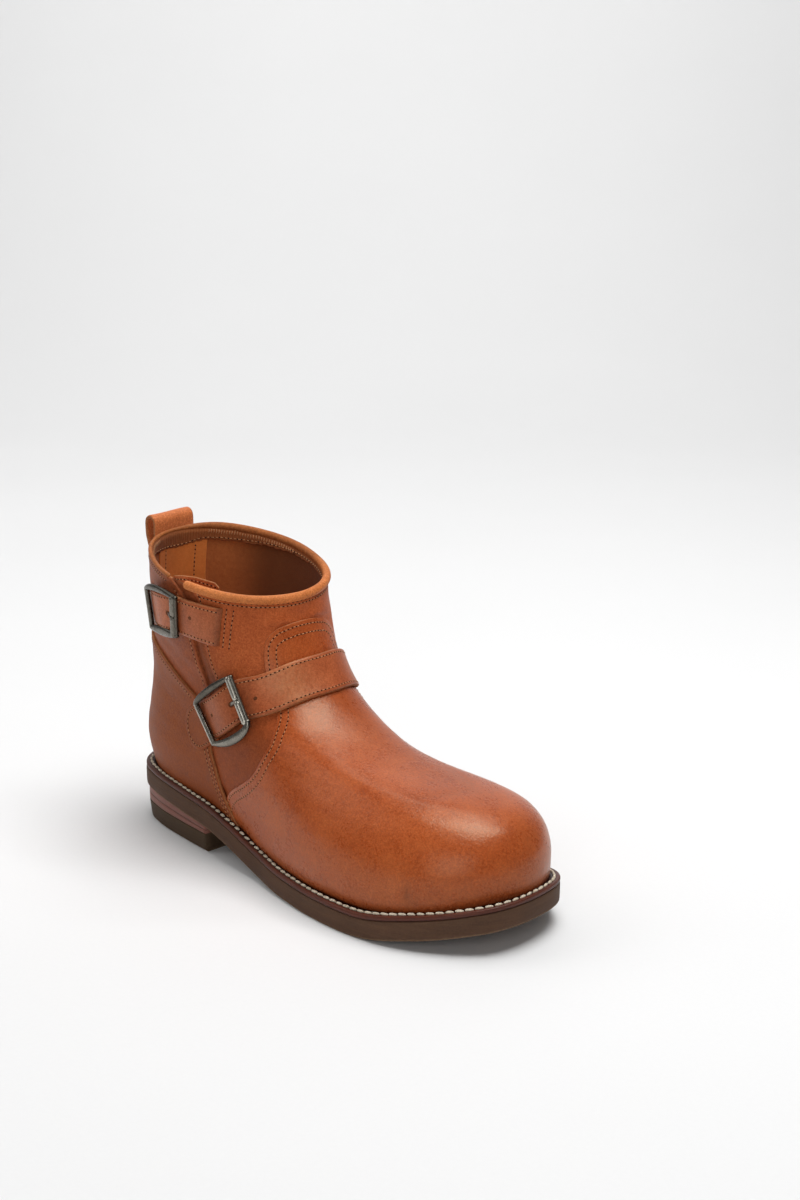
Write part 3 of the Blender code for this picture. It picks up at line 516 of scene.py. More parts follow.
# ---- materials -----------------------------------------------------------------------------------------------------
class Look:
    """A node material around one Principled shader, with patterns laid out in the row's metres."""

    def __init__(self, name, **constants):
        self.material = bpy.data.materials.new(name)
        self.material.use_nodes = True
        self.tree = self.material.node_tree
        self.shader = self.tree.nodes["Principled BSDF"]
        for key, value in constants.items():
            self.shader.inputs[key.replace("_", " ")].default_value = value
        self.where = self.tree.nodes.new("ShaderNodeTexCoord").outputs["Object"]

    def set(self, socket, value):
        if isinstance(value, bpy.types.NodeSocket):
            self.tree.links.new(value, socket)
        else:
            socket.default_value = value

    def stretched(self, x, y, z):
        node = self.tree.nodes.new("ShaderNodeMapping")
        node.inputs["Scale"].default_value = (x, y, z)
        self.tree.links.new(self.where, node.inputs["Vector"])
        return node.outputs["Vector"]

    def noise(self, scale, detail=2.0, roughness=0.5, distortion=0.0, where=None):
        node = self.tree.nodes.new("ShaderNodeTexNoise")
        self.tree.links.new(where or self.where, node.inputs["Vector"])
        for key, value in (("Scale", scale), ("Detail", detail), ("Roughness", roughness), ("Distortion", distortion)):
            node.inputs[key].default_value = value
        return node.outputs["Fac"]

    def cells(self, scale, feature="F1", where=None, randomness=1.0):
        node = self.tree.nodes.new("ShaderNodeTexVoronoi")
        node.feature = feature
        self.tree.links.new(where or self.where, node.inputs["Vector"])
        node.inputs["Scale"].default_value = scale
        node.inputs["Randomness"].default_value = randomness
        return node.outputs["Distance"]

    def math(self, what, a, b=0.0, clamp=False):
        node = self.tree.nodes.new("ShaderNodeMath")
        node.operation, node.use_clamp = what, clamp
        self.set(node.inputs[0], a)
        self.set(node.inputs[1], b)
        return node.outputs[0]

    def blend(self, weights):
        """Weighted sum of (value, weight)."""
        total = None
        for value, weight in weights:
            part = self.math("MULTIPLY", value, weight)
            total = part if total is None else self.math("ADD", total, part)
        return total

    def ramp(self, value, *stops):
        node = self.tree.nodes.new("ShaderNodeValToRGB")
        self.tree.links.new(value, node.inputs["Fac"])
        elements = node.color_ramp.elements
        while len(elements) < len(stops):
            elements.new(0.5)
        for element, (at, colour) in zip(elements, stops):
            element.position = at
            element.color = (*colour, 1.0) if len(np.shape(colour)) else (colour, colour, colour, 1.0)
        return node.outputs["Color"]

    def span(self, value, low, high, to_low, to_high):
        node = self.tree.nodes.new("ShaderNodeMapRange")
        self.tree.links.new(value, node.inputs["Value"])
        for key, number in (("From Min", low), ("From Max", high), ("To Min", to_low), ("To Max", to_high)):
            node.inputs[key].default_value = number
        return node.outputs["Result"]

    def mix(self, factor, a, b, how="MIX"):
        node = self.tree.nodes.new("ShaderNodeMix")
        node.data_type, node.blend_type = "RGBA", how
        self.set(node.inputs[0], factor)
        self.set(node.inputs[6], a if isinstance(a, bpy.types.NodeSocket) else (*a, 1.0))
        self.set(node.inputs[7], b if isinstance(b, bpy.types.NodeSocket) else (*b, 1.0))
        return node.outputs[2]

    def mark(self):
        node = self.tree.nodes.new("ShaderNodeAttribute")
        node.attribute_name = "mark"
        return node.outputs["Fac"]

    def bump(self, *layers):
        """Bump from (height, strength, distance in metres), the broadest first."""
        normal = None
        for height, strength, distance in layers:
            node = self.tree.nodes.new("ShaderNodeBump")
            node.inputs["Strength"].default_value = strength
            node.inputs["Distance"].default_value = distance
            self.tree.links.new(height, node.inputs["Height"])
            if normal is not None:
                self.tree.links.new(normal, node.inputs["Normal"])
            normal = node.outputs["Normal"]
        self.tree.links.new(normal, self.shader.inputs["Normal"])

    def colour(self, socket):
        self.tree.links.new(socket, self.shader.inputs["Base Color"])

    def roughness(self, socket):
        self.tree.links.new(socket, self.shader.inputs["Roughness"])


def leather(name, dark, middle, light, rough=(0.40, 0.56), grain=1.0, stain_and_shade=(0.035, 0.012, 0.006), wear_and_painted_light=(0.56, 0.27, 0.125), gloss=0.15):
    """Oiled full-grain leather: slow tone of the hide, cloudy pull-up, fine pores. The mark darkens it with stains and
    painted shade, or, when negative, lightens it with wear and painted sheen.
    """
    look = Look(name, Specular_IOR_Level=gloss, Specular_Tint=(1.0, 0.92, 0.68, 1.0))
    hide, cloud, fine = look.noise(16, 3, 0.55, 0.3), look.noise(75, 5, 0.62, 0.4), look.noise(620, 4, 0.70)
    tone = look.blend([(hide, 0.26), (cloud, 0.26), (fine, 0.48)])
    colour = look.ramp(tone, (0.385, dark), (0.50, middle), (0.63, light))
    colour = look.mix(1.0, colour, look.ramp(look.noise(1150, 2, 0.6), (0.40, (0.77, 0.75, 0.73)), (0.60, (1.0, 1.0, 1.0))), "MULTIPLY")
    pores = look.cells(1500)
    colour = look.mix(look.span(pores, 0.0, 0.22, 0.14, 0.0), colour, tuple(0.65 * v for v in dark))
    mark = look.mark()
    mark_breakup = look.noise(420, 4, 0.65)
    # a high mark darkens the leather with stains and painted shade, broken up by noise
    colour = look.mix(look.math("MULTIPLY", look.math("MAXIMUM", mark, 0.0), look.span(mark_breakup, 0.3, 0.62, 0.55, 1.0), True), colour, stain_and_shade)
    # a negative mark lightens it with wear and painted sheen, broken up by noise
    colour = look.mix(look.math("MULTIPLY", look.math("MAXIMUM", look.math("MULTIPLY", mark, -1.0), 0.0), look.span(mark_breakup, 0.35, 0.6, 0.3, 1.0), True), colour, wear_and_painted_light)
    look.colour(colour)
    look.roughness(look.span(look.blend([(cloud, 0.6), (fine, 0.4)]), 0.3, 0.7, *rough))
    look.bump((look.noise(260, 3, 0.55), 0.26 * grain, 0.0006), (look.cells(1150, "SMOOTH_F1"), 0.34 * grain, 0.00016),
              (look.noise(2600, 2, 0.6), 0.22 * grain, 0.00010))
    return look.material


def suede(name, dark, light, nap=1.0):
    look = Look(name, Specular_IOR_Level=0.14, Sheen_Weight=0.06, Sheen_Roughness=0.55)
    tone = look.blend([(look.noise(38, 3, 0.6, 0.5), 0.4), (look.noise(420, 4, 0.7), 0.35), (look.noise(2300, 2, 0.6), 0.25)])
    colour = look.ramp(tone, (0.34, dark), (0.68, light))
    mark = look.mark()
    colour = look.mix(look.math("MAXIMUM", mark, 0.0, True), colour, tuple(0.3 * v for v in dark))
    look.colour(colour)
    look.roughness(look.span(tone, 0.3, 0.7, 0.82, 0.97))
    look.bump((look.noise(300, 3, 0.6), 0.25 * nap, 0.0006), (look.noise(1900, 4, 0.75), 0.6 * nap, 0.00030))
    return look.material


def rubber(name, dark, light):
    look = Look(name, Specular_IOR_Level=0.14)
    trim = look.noise(46, 4, 0.65, 0.2, look.stretched(1.0, 1.0, 26.0))
    tone = look.blend([(look.noise(26, 3, 0.6), 0.35), (trim, 0.35), (look.noise(900, 3, 0.7), 0.30)])
    colour = look.ramp(tone, (0.33, dark), (0.68, light))
    mark = look.mark()
    colour = look.mix(look.math("MULTIPLY", look.math("MAXIMUM", mark, 0.0, True), look.span(look.noise(640, 4, 0.7), 0.36, 0.6, 0.2, 1.0)), colour, (0.20, 0.125, 0.075))
    specks = look.cells(520)
    colour = look.mix(look.span(specks, 0.0, 0.085, 0.55, 0.0), colour, (0.24, 0.17, 0.12))
    look.colour(colour)
    look.roughness(look.span(tone, 0.3, 0.7, 0.52, 0.74))
    look.bump((trim, 0.30, 0.0005), (look.noise(1300, 4, 0.7), 0.35, 0.00022))
    return look.material


def stacked(name, dark, light):
    """Cut edge of leather that is dyed and waxed: fibres lie along it."""
    look = Look(name, Specular_IOR_Level=0.30)
    fibre = look.noise(70, 5, 0.7, 0.6, look.stretched(1.0, 1.0, 16.0))
    tone = look.blend([(fibre, 0.55), (look.noise(34, 3, 0.6), 0.25), (look.noise(1200, 3, 0.6), 0.20)])
    colour = look.ramp(tone, (0.33, dark), (0.68, light))
    mark = look.mark()
    colour = look.mix(look.math("MAXIMUM", mark, 0.0, True), colour, tuple(0.22 * v for v in dark))
    look.colour(colour)
    look.roughness(look.span(tone, 0.3, 0.7, 0.34, 0.55))
    look.bump((fibre, 0.30, 0.0004), (look.noise(1500, 3, 0.65), 0.25, 0.00014))
    return look.material


def thread(name, dark, light, twist):
    look = Look(name, Specular_IOR_Level=0.25, Sheen_Weight=0.15)
    ply = look.noise(twist, 2, 0.5, 0.0, look.stretched(1.0, 1.0, 1.6))
    tone = look.blend([(ply, 0.6), (look.noise(90, 3, 0.6), 0.4)])
    look.colour(look.ramp(tone, (0.34, dark), (0.66, light)))
    look.roughness(look.span(tone, 0.3, 0.7, 0.62, 0.85))
    look.bump((ply, 0.55, 0.00025))
    return look.material


def metal(name):
    """Antique nickel: dark patina in the hollows, rubbed bright where the mark is high; the mark also lays a painted
    highlight along the tops of the bars.
    """
    look = Look(name, Metallic=1.0)
    patina = look.blend([(look.noise(140, 4, 0.65, 0.4), 0.55), (look.noise(900, 3, 0.6), 0.45)])
    old = look.ramp(patina, (0.32, (0.026, 0.023, 0.018)), (0.66, (0.092, 0.081, 0.063)))
    bright = look.ramp(patina, (0.30, (0.380, 0.355, 0.300)), (0.62, (0.580, 0.545, 0.475)))
    look.colour(look.mix(look.math("MAXIMUM", look.mark(), 0.0, True), old, bright))
    look.roughness(look.span(patina, 0.3, 0.7, 0.34, 0.22))
    look.bump((look.noise(700, 3, 0.6), 0.12, 0.00015))
    return look.material


def plain(name, dark, light, rough):
    look = Look(name, Specular_IOR_Level=0.2)
    tone = look.blend([(look.noise(700, 3, 0.6), 0.6), (look.noise(60, 2, 0.5), 0.4)])
    look.colour(look.ramp(tone, (0.35, dark), (0.65, light)))
    look.roughness(look.span(tone, 0.3, 0.7, rough - 0.05, rough + 0.05))
    return look.material


VAMP_LEATHER = leather("vamp_leather", (0.336, 0.0605, 0.0130), (0.423, 0.0850, 0.0190), (0.512, 0.1200, 0.0300), rough=(0.23, 0.35), gloss=0.39)
SHAFT_LEATHER = leather("shaft_leather", (0.365, 0.0725, 0.0190), (0.466, 0.1015, 0.0282), (0.568, 0.1405, 0.0420))
COUNTER_LEATHER = leather("counter_leather", (0.214, 0.0430, 0.0074), (0.277, 0.0598, 0.0110), (0.337, 0.0818, 0.0165))
STRAP_LEATHER = leather("strap_leather", (0.322, 0.0670, 0.0200), (0.415, 0.0960, 0.0310), (0.515, 0.1370, 0.0460), rough=(0.32, 0.44), grain=0.8, gloss=0.43)
LOOP_LEATHER = leather("loop_leather", (0.5186, 0.1405, 0.0438), (0.6516, 0.1942, 0.0657), (0.7712, 0.2615, 0.0984))
PIPING_LEATHER = leather("piping_leather", (0.4938, 0.1413, 0.037), (0.6189, 0.1921, 0.0541), (0.7442, 0.2553, 0.0804), rough=(0.46, 0.60))
CUT_EDGE = leather("cut_edge", (0.3078, 0.1049, 0.0388), (0.4218, 0.1573, 0.0616), (0.5244, 0.2166, 0.0912), rough=(0.55, 0.72), grain=1.4)
# painted shade for the punched holes
HOLE_SHADE = leather("hole_shade", (0.0969, 0.0296, 0.0114), (0.1482, 0.0456, 0.0171), (0.2109, 0.0684, 0.0251), rough=(0.5, 0.7), grain=1.4)
LINING = suede("lining", (0.320, 0.0860, 0.0215), (0.535, 0.1640, 0.0480))
STAY = suede("back_stay_suede", (0.58, 0.155, 0.031), (0.80, 0.255, 0.060), 0.8)
FACING = suede("facing_suede", (0.20, 0.054, 0.015), (0.37, 0.118, 0.036), 1.2)
WELT_LEATHER = stacked("welt_leather", (0.050, 0.0095, 0.0040), (0.125, 0.0270, 0.0100))
LIFT_LEATHER = stacked("lift_leather", (0.136, 0.046, 0.032), (0.312, 0.117, 0.081))
SOLE_RUBBER = rubber("sole_rubber", (0.061, 0.0305, 0.0172), (0.128, 0.0660, 0.0380))
HEEL_RUBBER = rubber("heel_rubber", (0.048, 0.0283, 0.0158), (0.097, 0.0595, 0.0325))
WELT_THREAD = thread("welt_thread", (0.46, 0.37, 0.25), (0.82, 0.74, 0.60), 1100)
TAN_THREAD = thread("tan_thread", (0.36, 0.145, 0.054), (0.60, 0.305, 0.145), 2200)
# painted shade for the needle holes
NEEDLE_HOLE_SHADE = plain("needle_hole_shade", (0.014, 0.005, 0.002), (0.042, 0.015, 0.006), 0.9)
BUCKLE = metal("buckle_metal")


# ---- stitching -----------------------------------------------------------------------------------------------------
def stitch_shape(around=6):
    rings, points, faces = [(-0.86, 0.55), (-0.4, 0.95), (0.4, 0.95), (0.86, 0.55)], [(-1.0, 0.0, -0.25)], []
    for x, r in rings:
        for a in np.arange(around) * 2 * np.pi / around:
            points.append((x, r * np.cos(a), r * np.sin(a)))
    points.append((1.0, 0.0, -0.25))
    for k in range(around):
        l = (k + 1) % around
        faces.append((0, 1 + l, 1 + k))
        for i in range(3):
            a = 1 + i * around
            faces.append((a + k, a + l, a + around + l, a + around + k))
        a = 1 + 3 * around
        faces.append((a + k, a + l, len(points) - 1))
    return np.array(points), faces


STITCH, STITCH_FACES = stitch_shape()
DICE = np.random.default_rng(7)


def sew(threads, holes, points, normals, pitch=2.6, dash=1.65, wide=0.55, high=0.42, sink=0.10, hole=0.47, slant=0.0):
    """A row of stitches along a line that lies on a surface, with a needle hole between each two."""
    run = run_of(points)
    count = max(int(run[-1] / pitch), 1)
    at = (np.arange(count) + 0.5) * run[-1] / count

    def spot(at):
        p = np.column_stack([np.interp(at, run, points[:, i]) for i in range(3)])
        a, b = np.clip(at - 0.4, 0, run[-1]), np.clip(at + 0.4, 0, run[-1])
        way = np.column_stack([np.interp(b, run, points[:, i]) - np.interp(a, run, points[:, i]) for i in range(3)])
        n = np.column_stack([np.interp(at, run, normals[:, i]) for i in range(3)])
        n /= np.linalg.norm(n, axis=1, keepdims=True)
        way -= n * (way * n).sum(1, keepdims=True)
        way /= np.linalg.norm(way, axis=1, keepdims=True)
        return p, way, np.cross(n, way), n

    p, way, side, n = spot(at)
    turn = np.radians(slant) + DICE.normal(0, 0.04, count)
    way, side = way * np.cos(turn)[:, None] + side * np.sin(turn)[:, None], side * np.cos(turn)[:, None] - way * np.sin(turn)[:, None]
    size = np.column_stack([dash / 2 * DICE.normal(1, 0.05, count), wide / 2 * DICE.normal(1, 0.06, count), np.full(count, high)])
    p = p - n * sink + side * DICE.normal(0, 0.04, count)[:, None]
    shape = STITCH[None] * size[:, None]
    spots = p[:, None] + shape[..., :1] * way[:, None] + shape[..., 1:2] * side[:, None] + shape[..., 2:] * n[:, None]
    v = len(STITCH)
    faces = [tuple(i + k * v for i in f) for k in range(count) for f in STITCH_FACES]
    threads.extend(spots.reshape(-1, 3), faces)
    if holes is None:
        return
    # needle holes: small dark domes on the surface, painted shade for each hole
    p, way, side, n = spot(np.concatenate([[0.0], (at[1:] + at[:-1]) / 2, [run[-1]]]))
    a = np.arange(7) * 2 * np.pi / 7
    ring = p[:, None] + hole * (1.25 * np.cos(a)[None, :, None] * way[:, None] + np.sin(a)[None, :, None] * side[:, None])
    dome, base = p + n * 0.07, p - n * 0.25
    spots = np.concatenate([dome[:, None], ring + n[:, None] * 0.035, base[:, None]], 1)
    faces = []
    for k in range(len(p)):
        b = k * 9
        for i in range(7):
            j = (i + 1) % 7
            faces += [(b, b + 1 + i, b + 1 + j), (b + 8, b + 1 + j, b + 1 + i)]
    holes.extend(spots.reshape(-1, 3), faces)


def sew_on(threads, holes, s, t, off, **how):
    p, n, _, _ = upper_frame(s, t)
    sew(threads, holes, p + n * np.broadcast_to(off, s.shape)[:, None], n, **how)


# ---- the upper -----------------------------------------------------------------------------------------------------
def make_shaft():
    rows = np.concatenate([np.linspace(0, 0.8, 7), np.linspace(0.8, 6, 32)[1:], np.linspace(6, 10.93, 64)[1:]])
    back, front, deep = monotone(GUSSET_BACK, rows), monotone(GUSSET_FRONT, rows), ease(6.2, 7.2, rows)
    columns = [((back - 0.9) * f, 0.0, 0.0) for f in np.linspace(0, 1, 42)]
    columns += [(back - 0.3, -0.10, -0.1), (back, -0.55, -0.3), (back + 0.05, -1.75, -0.9)]
    columns += [(back + (front - back) * f, -1.75 + 0.8 * f + 0.25 * np.sin(np.pi * f), -0.95) for f in np.linspace(0.1, 0.9, 9)]
    columns += [(front - 0.05, -0.95, -0.9), (front, -0.45, -0.3), (front + 0.3, -0.08, -0.1)]
    columns += [(front + 0.9 + (360 - front - 0.9) * f, 0.0, 0.0) for f in np.linspace(0, 1, 128)[:-1]]
    t = np.column_stack([c[0] for c in columns])
    s = np.broadcast_to(rows[:, None], t.shape)
    sunk = np.array([c[1] for c in columns])[None] * deep[:, None]
    inward = np.array([c[2] for c in columns])[None] * deep[:, None]
    outside = shaft_off(s, t) + sunk
    inside = -UPPER_WALL + inward
    outer, inner = upper_off(s, t, outside), upper_off(s, t, inside)
    inner[0, :, 2] = welt_top(inner[0, :, 0]) + GAP
    lip = upper_off(s[-1] + 0.035, t[-1], outside[-1] - 0.35), upper_off(s[-1] + 0.035, t[-1], inside[-1] + 0.35)
    outer, inner = np.concatenate([outer, lip[0][None]]), np.concatenate([inner, lip[1][None]])
    n, m = outer.shape[:2]
    points = np.vstack([outer.reshape(-1, 3), inner.reshape(-1, 3)])
    faces = grid_faces(n, m, wrap=True)
    slots = [0] * len(faces)
    more = grid_faces(n, m, n * m, flip=True, wrap=True)
    faces, slots = faces + more, slots + [1] * len(more)
    for k in range(m):
        l = (k + 1) % m
        faces += [(l, k, n * m + k, n * m + l), ((n - 1) * m + k, (n - 1) * m + l, (2 * n - 1) * m + l, (2 * n - 1) * m + k)]
        slots += [1, 2]
    # painted shade: darker in the gusset's recess, darker from the back round the lateral side, a little darker at the
    # medial back; the two meet in a step at the back seam
    mark = 0.22 * ease(0.3, 1.0, -sunk)
    mark = mark + 0.44 * (1 - ease(92, 125, t)) + 0.17 * ease(235, 268, t)
    mark = np.concatenate([mark, mark[-1:]])
    # painted shade on the lining, darker towards its front on the medial side
    shade = 0.82 * ease(318, 285, t) * ease(150, 200, t) + 0.0 * s
    shade = np.concatenate([shade, shade[-1:]])
    build = Build()
    build.extend(points, faces if turned_out(points, faces) else [f[::-1] for f in faces], slots, np.concatenate([mark.ravel(), shade.ravel()]))
    piece("shaft_leather_and_lining", build, [SHAFT_LEATHER, LINING, CUT_EDGE], ["shaft"])

    # the gusset's free edge stands up behind the front of the collar
    f, t = np.meshgrid(np.linspace(0, 1, 44), np.linspace(88.3, 121.5, 34), indexing="ij")
    top = monotone(GUSSET_TOP, t)
    s = 7.0 + (top - 7.0) * f
    t = t - 2.6 * ease(9.8, 7.0, s)
    grid = rim_lines(np.stack([s, t, np.full(s.shape, 99.0)], -1), ("top", "right"))
    s, t, near = grid[..., 0], grid[..., 1], grid[..., 2]
    out = -1.95 - 2.9 * ease(92, 119, t) * ease(8.5, 10.9, s) - 0.5 * hump(t - 104, 5) * ease(10.2, 11.2, s)
    thick = 0.12 + 1.13 * ease(7.9, 9.6, s) * ease(88.6, 93.0, t)      # skived away where it joins the wall
    build = Build()
    # painted shade: the fold's leather darkens towards its front end
    slab(build, s, t, out - rim_fall(near, 0.48) * thick, out - thick + rim_fall(near, 0.48) * thick, near, value=0.18 * ease(99, 106, t), under_slot=2)
    piece("gusset_fold", build, [SHAFT_LEATHER, CUT_EDGE, LINING])


def vamp_line(count=420):
    parts = [line_on_upper(part, count) for part in (VAMP_LATERAL, SHIELD, VAMP_MEDIAL)]
    s, t = (np.concatenate([parts[0][i], parts[1][i][1:], parts[2][i][1:]]) for i in (0, 1))
    run = run_of(upper_at(s, t))
    at = np.linspace(0, run[-1], 3 * count)
    return np.interp(at, run, s), np.interp(at, run, t)


def make_vamp():
    rows, columns = 160, 190
    left, top, right = line_on_upper(VAMP_LATERAL, rows), line_on_upper(SHIELD, columns), line_on_upper(VAMP_MEDIAL[::-1], rows)
    f = np.linspace(0, 1, columns)[None]
    s = left[0][:, None] * (1 - f) + right[0][:, None] * f
    t = left[1][:, None] * (1 - f) + right[1][:, None] * f
    reach = ease(0.62, 1.0, np.linspace(0, 1, rows))[:, None] ** 2
    s, t = s + (top[0][None] - s[-1:]) * reach, t + (top[1][None] - t[-1:]) * reach
    grid = rim_lines(np.stack([s, t, np.full(s.shape, 99.0)], -1), ("left", "right", "top"))
    s, t, near = grid[..., 0], grid[..., 1], grid[..., 2]
    mark = 0.40 * hump(s - 0.70, 0.26) * hump(t - 136.9, 0.9) + 0.12 * hump(s - 0.5, 0.3) * hump(t - 139.0, 1.8)
    mark = mark - 0.9 * hump(s - 1.58, 0.03) * hump(t - 136, 0.35)
    # painted shade along the toe puff's faint step
    line = 4.36 + 0.22 * (t - 152.5) / 52 + 0.05 * np.sin(np.radians(t) * 9)
    mark = mark + 0.13 * hump(s - line, 0.09) * ease(142, 156, t) * (1 - ease(200, 220, t))
    # painted shade at the foot of the vamp by the welt
    mark = mark + 0.30 * hump(s, 0.35)
    # painted shade over the toe cap's front and the medial side, and a little towards the bottom
    mark = mark + 0.20 * ease(160, 186, t) * (1 - ease(2.0, 3.6, s)) + 0.06 * ease(1.8, 0.8, s) + 0.15 * ease(150, 190, t) * ease(3.0, 5.0, s) * (1 - ease(7.6, 8.6, s))
    build = Build()
    slab(build, s, t, vamp_off(s, t) - rim_fall(near, 1.35), np.full(s.shape, -0.95), near, value=mark)
    piece("vamp_and_shield", build, [VAMP_LEATHER, CUT_EDGE], ["vamp"])


def make_counter():
    r, w = np.meshgrid(np.linspace(0, 1, 64), np.linspace(-1, 1, 100), indexing="ij")
    s = 0.06 + r * (spline(COUNTER_TOP, np.abs(73.5 * w).ravel()).reshape(w.shape) - 0.06)
    t = w * monotone(COUNTER_FRONT, s)
    grid = rim_lines(np.stack([s, t, np.full(s.shape, 99.0)], -1), ("left", "right", "top"))
    s, t, near = grid[..., 0], grid[..., 1], grid[..., 2]
    high = counter_off(s, t) - rim_fall(near, 1.5)

    def clear(s, t, off):
        p = upper_off(s, t, off)
        p[..., 2] = np.maximum(p[..., 2], welt_top(p[..., 0]) + 0.15)
        return p

    build = Build()
    # painted shade at the foot of the counter by the welt
    slab(build, s, t, high, np.full(s.shape, -0.15), near, value=0.25 * hump(s, 0.5), place=clear)
    piece("heel_counter_leather", build, [COUNTER_LEATHER, CUT_EDGE], ["heel_counter"])


def make_collar():
    turns = np.linspace(101.8, 444.5, 300)
    thin = ease(318, 362, turns)
    rim = upper_off(11.03 - 0.05 * thin, turns, -0.45 - 0.65 * thin)
    build = Build()
    swell = (2.5 - 1.2 * thin) * (1 + 0.02 * np.sin(np.linspace(0, 41, 300)) * np.sin(np.linspace(0, 17, 300)))
    # painted shade from the medial side round the back, and painted light making it lighter near the lateral front
    sweep(build, rim, (0.0, 0.0, 1.0), swell, swell * 1.05, 18, value=0.50 * ease(205, 255, turns) - 0.10 * ease(175, 140, turns))
    piece("collar_piping", build, [PIPING_LEATHER], ["collar_binding"])

    # facing band inside the collar, gathered where it is sewn, with a rough lower edge, and the stay up the inside of the back
    t = np.linspace(101.8, 444.5, 520)
    rough = 0.022 * np.sin(t * 0.31) + 0.016 * np.sin(t * 1.13 + 1) + DICE.normal(0, 0.014, 520)
    low = monotone(FACING_LOW, t) + rough
    f = np.linspace(0, 1, 14)[:, None]
    s = low[None] + (11.05 - low[None]) * f
    ribs = 0.20 * np.sin(t * 2.9 + 1.4 * np.sin(t * 0.21)) * (0.35 + 0.65 * ease(270, 300, t))
    ribs = ribs[None] * np.sin(np.pi * np.clip(f * 1.05, 0, 1)) ** 0.7
    grid = rim_lines(np.stack([s, np.broadcast_to(t, s.shape), np.full(s.shape, 99.0), ribs], -1), ("bottom",))
    s, t, near, ribs = (grid[..., i] for i in range(4))
    lean = 1.15 * ease(10.75, 11.05, s)
    build = Build()
    slab(build, s, t, np.full(s.shape, -UPPER_WALL + 0.2) + lean, -UPPER_WALL - 0.95 + rim_fall(near, 0.9) + lean - ribs, near, 0, 1, value=0.25 * hump(near, 0.7))
    piece("collar_facing", build, [FACING, STAY])

    s, t = np.meshgrid(np.linspace(1.2, 10.5, 60), np.linspace(331.0, 381.0, 40), indexing="ij")
    grid = rim_lines(np.stack([s, t, np.full(s.shape, 99.0)], -1), ("left", "right"))
    s, t, near = grid[..., 0], grid[..., 1], grid[..., 2]
    build = Build()
    slab(build, s, t, np.full(s.shape, -UPPER_WALL + 0.2), -UPPER_WALL - 0.7 + rim_fall(near, 0.7), near, 0, 0)
    piece("back_stay", build, [STAY])


def make_loop():
    centre = [(10.3, 157.0), (10.35, 167.0), (10.2, 175.5), (10.2, 182.0)]
    for a in np.linspace(15, 165, 7):
        centre.append((6.2 + 4.0 * np.cos(np.radians(a)), 183.4 + 4.0 * np.sin(np.radians(a))))
    centre += [(2.2, 181.5), (2.6, 175.5), (4.8, 169.5), (7.7, 164.0), (8.0, 157.0)]
    centre = np.array(centre)
    centre[:, 0] += np.interp(centre[:, 1], (157.0, 176.0), (0.0, 1.2))
    chord = np.concatenate([[0.0], np.cumsum(np.linalg.norm(np.diff(centre, axis=0), axis=1))])
    at = np.linspace(0, chord[-1], 110)
    line = np.column_stack([np.interp(at, chord, centre[:, i]) for i in (0, 1)])
    for _ in range(6):
        line[1:-1] = (line[:-2] + 2 * line[1:-1] + line[2:]) / 4
    way = np.gradient(line, axis=0)
    way /= np.linalg.norm(way, axis=1)[:, None]
    out = np.column_stack([-way[:, 1], way[:, 0]])
    y = np.concatenate([[-15.0, -14.75, -14.2], np.linspace(-13.4, 13.4, 15), [14.2, 14.75, 15.0]])
    half = np.interp(np.abs(y), [0, 14.2, 14.75, 15.0], [1.0, 1.0, 0.78, 0.42])
    rings = []
    for k, (c, o) in enumerate(zip(line, out)):
        wave = 0.12 * np.sin(y * 0.24 + 0.05 * k)
        lean = 0.05 * y * np.clip((c[1] - 160) / 15, 0, 1)
        a = np.column_stack([c[0] + o[0] * (half + wave), LOOP_Y + y, c[1] + lean + o[1] * (half + wave)])
        b = np.column_stack([c[0] - o[0] * (half - wave), LOOP_Y + y, c[1] + lean - o[1] * (half - wave)])
        rings.append(np.vstack([a, b[::-1]]))
    rings = np.array(rings)
    n, m = rings.shape[:2]
    faces = grid_faces(n, m, wrap=True)
    side = set([len(y) - 1, len(y) - 2, 0, 1, 2 * len(y) - 1, 2 * len(y) - 2, len(y), len(y) - 3, len(y) + 1])
    slots = [1 if (q % m) in side else 0 for q in range(len(faces))]
    for base in (0, (n - 1) * m):
        for k in range(len(y) - 1):
            faces.append((base + k, base + k + 1, base + m - 2 - k, base + m - 1 - k))
            slots.append(1)
    points = rings.reshape(-1, 3)
    build = Build()
    build.extend(points, faces if turned_out(points, faces) else [f[::-1] for f in faces], slots)
    piece("pull_loop_leather", build, [LOOP_LEATHER, CUT_EDGE], ["pull_loop"])
    return line, out


# ---- straps and buckles --------------------------------------------------------------------------------------------
def strap_grid(start, end, half, step=1.0, round_start=0.0, round_end=0.0, inner=13):
    """Coordinates of a strap, along and across, with lines close to its edges, and each point's distance from an edge."""
    along = np.arange(start, end, step)
    along = np.unique(np.concatenate([along, start + np.array([0.0, 0.1, 0.3, 0.85]), end - np.array([0.0, 0.1, 0.3, 0.85])]))
    wide = np.full(len(along), float(half))
    for tip, radius in ((along - start, round_start), (end - along, round_end)):
        if radius > 0:
            near = np.clip(tip / radius, 0.0, 1)
            wide = np.minimum(wide, half - radius + np.sqrt(np.maximum(radius**2 - (radius * (1 - near)) ** 2, 0.0)))
    wide = np.maximum(wide, 0.6)
    k = np.minimum(1.0, wide / 3)
    lines = np.concatenate([[0.0, 0.3, 0.85], np.full(inner, np.nan), [0.85, 0.3, 0.0]])
    across, near = np.zeros((len(lines), len(along))), np.full((len(lines), len(along)), 99.0)
    for i, d in enumerate(lines):
        if np.isnan(d):
            f = (i - 2) / (inner + 1)
            across[i] = (wide - 0.85 * k) * (2 * f - 1)
        else:
            across[i] = (-1 if i < 3 else 1) * (wide - d * k)
            near[i] = d
    ends = np.minimum(along - start if round_start >= 0 else 99.0, end - along if round_end >= 0 else 99.0)
    return np.broadcast_to(along, across.shape), across, np.minimum(near, np.maximum(ends, 0.0)[None])


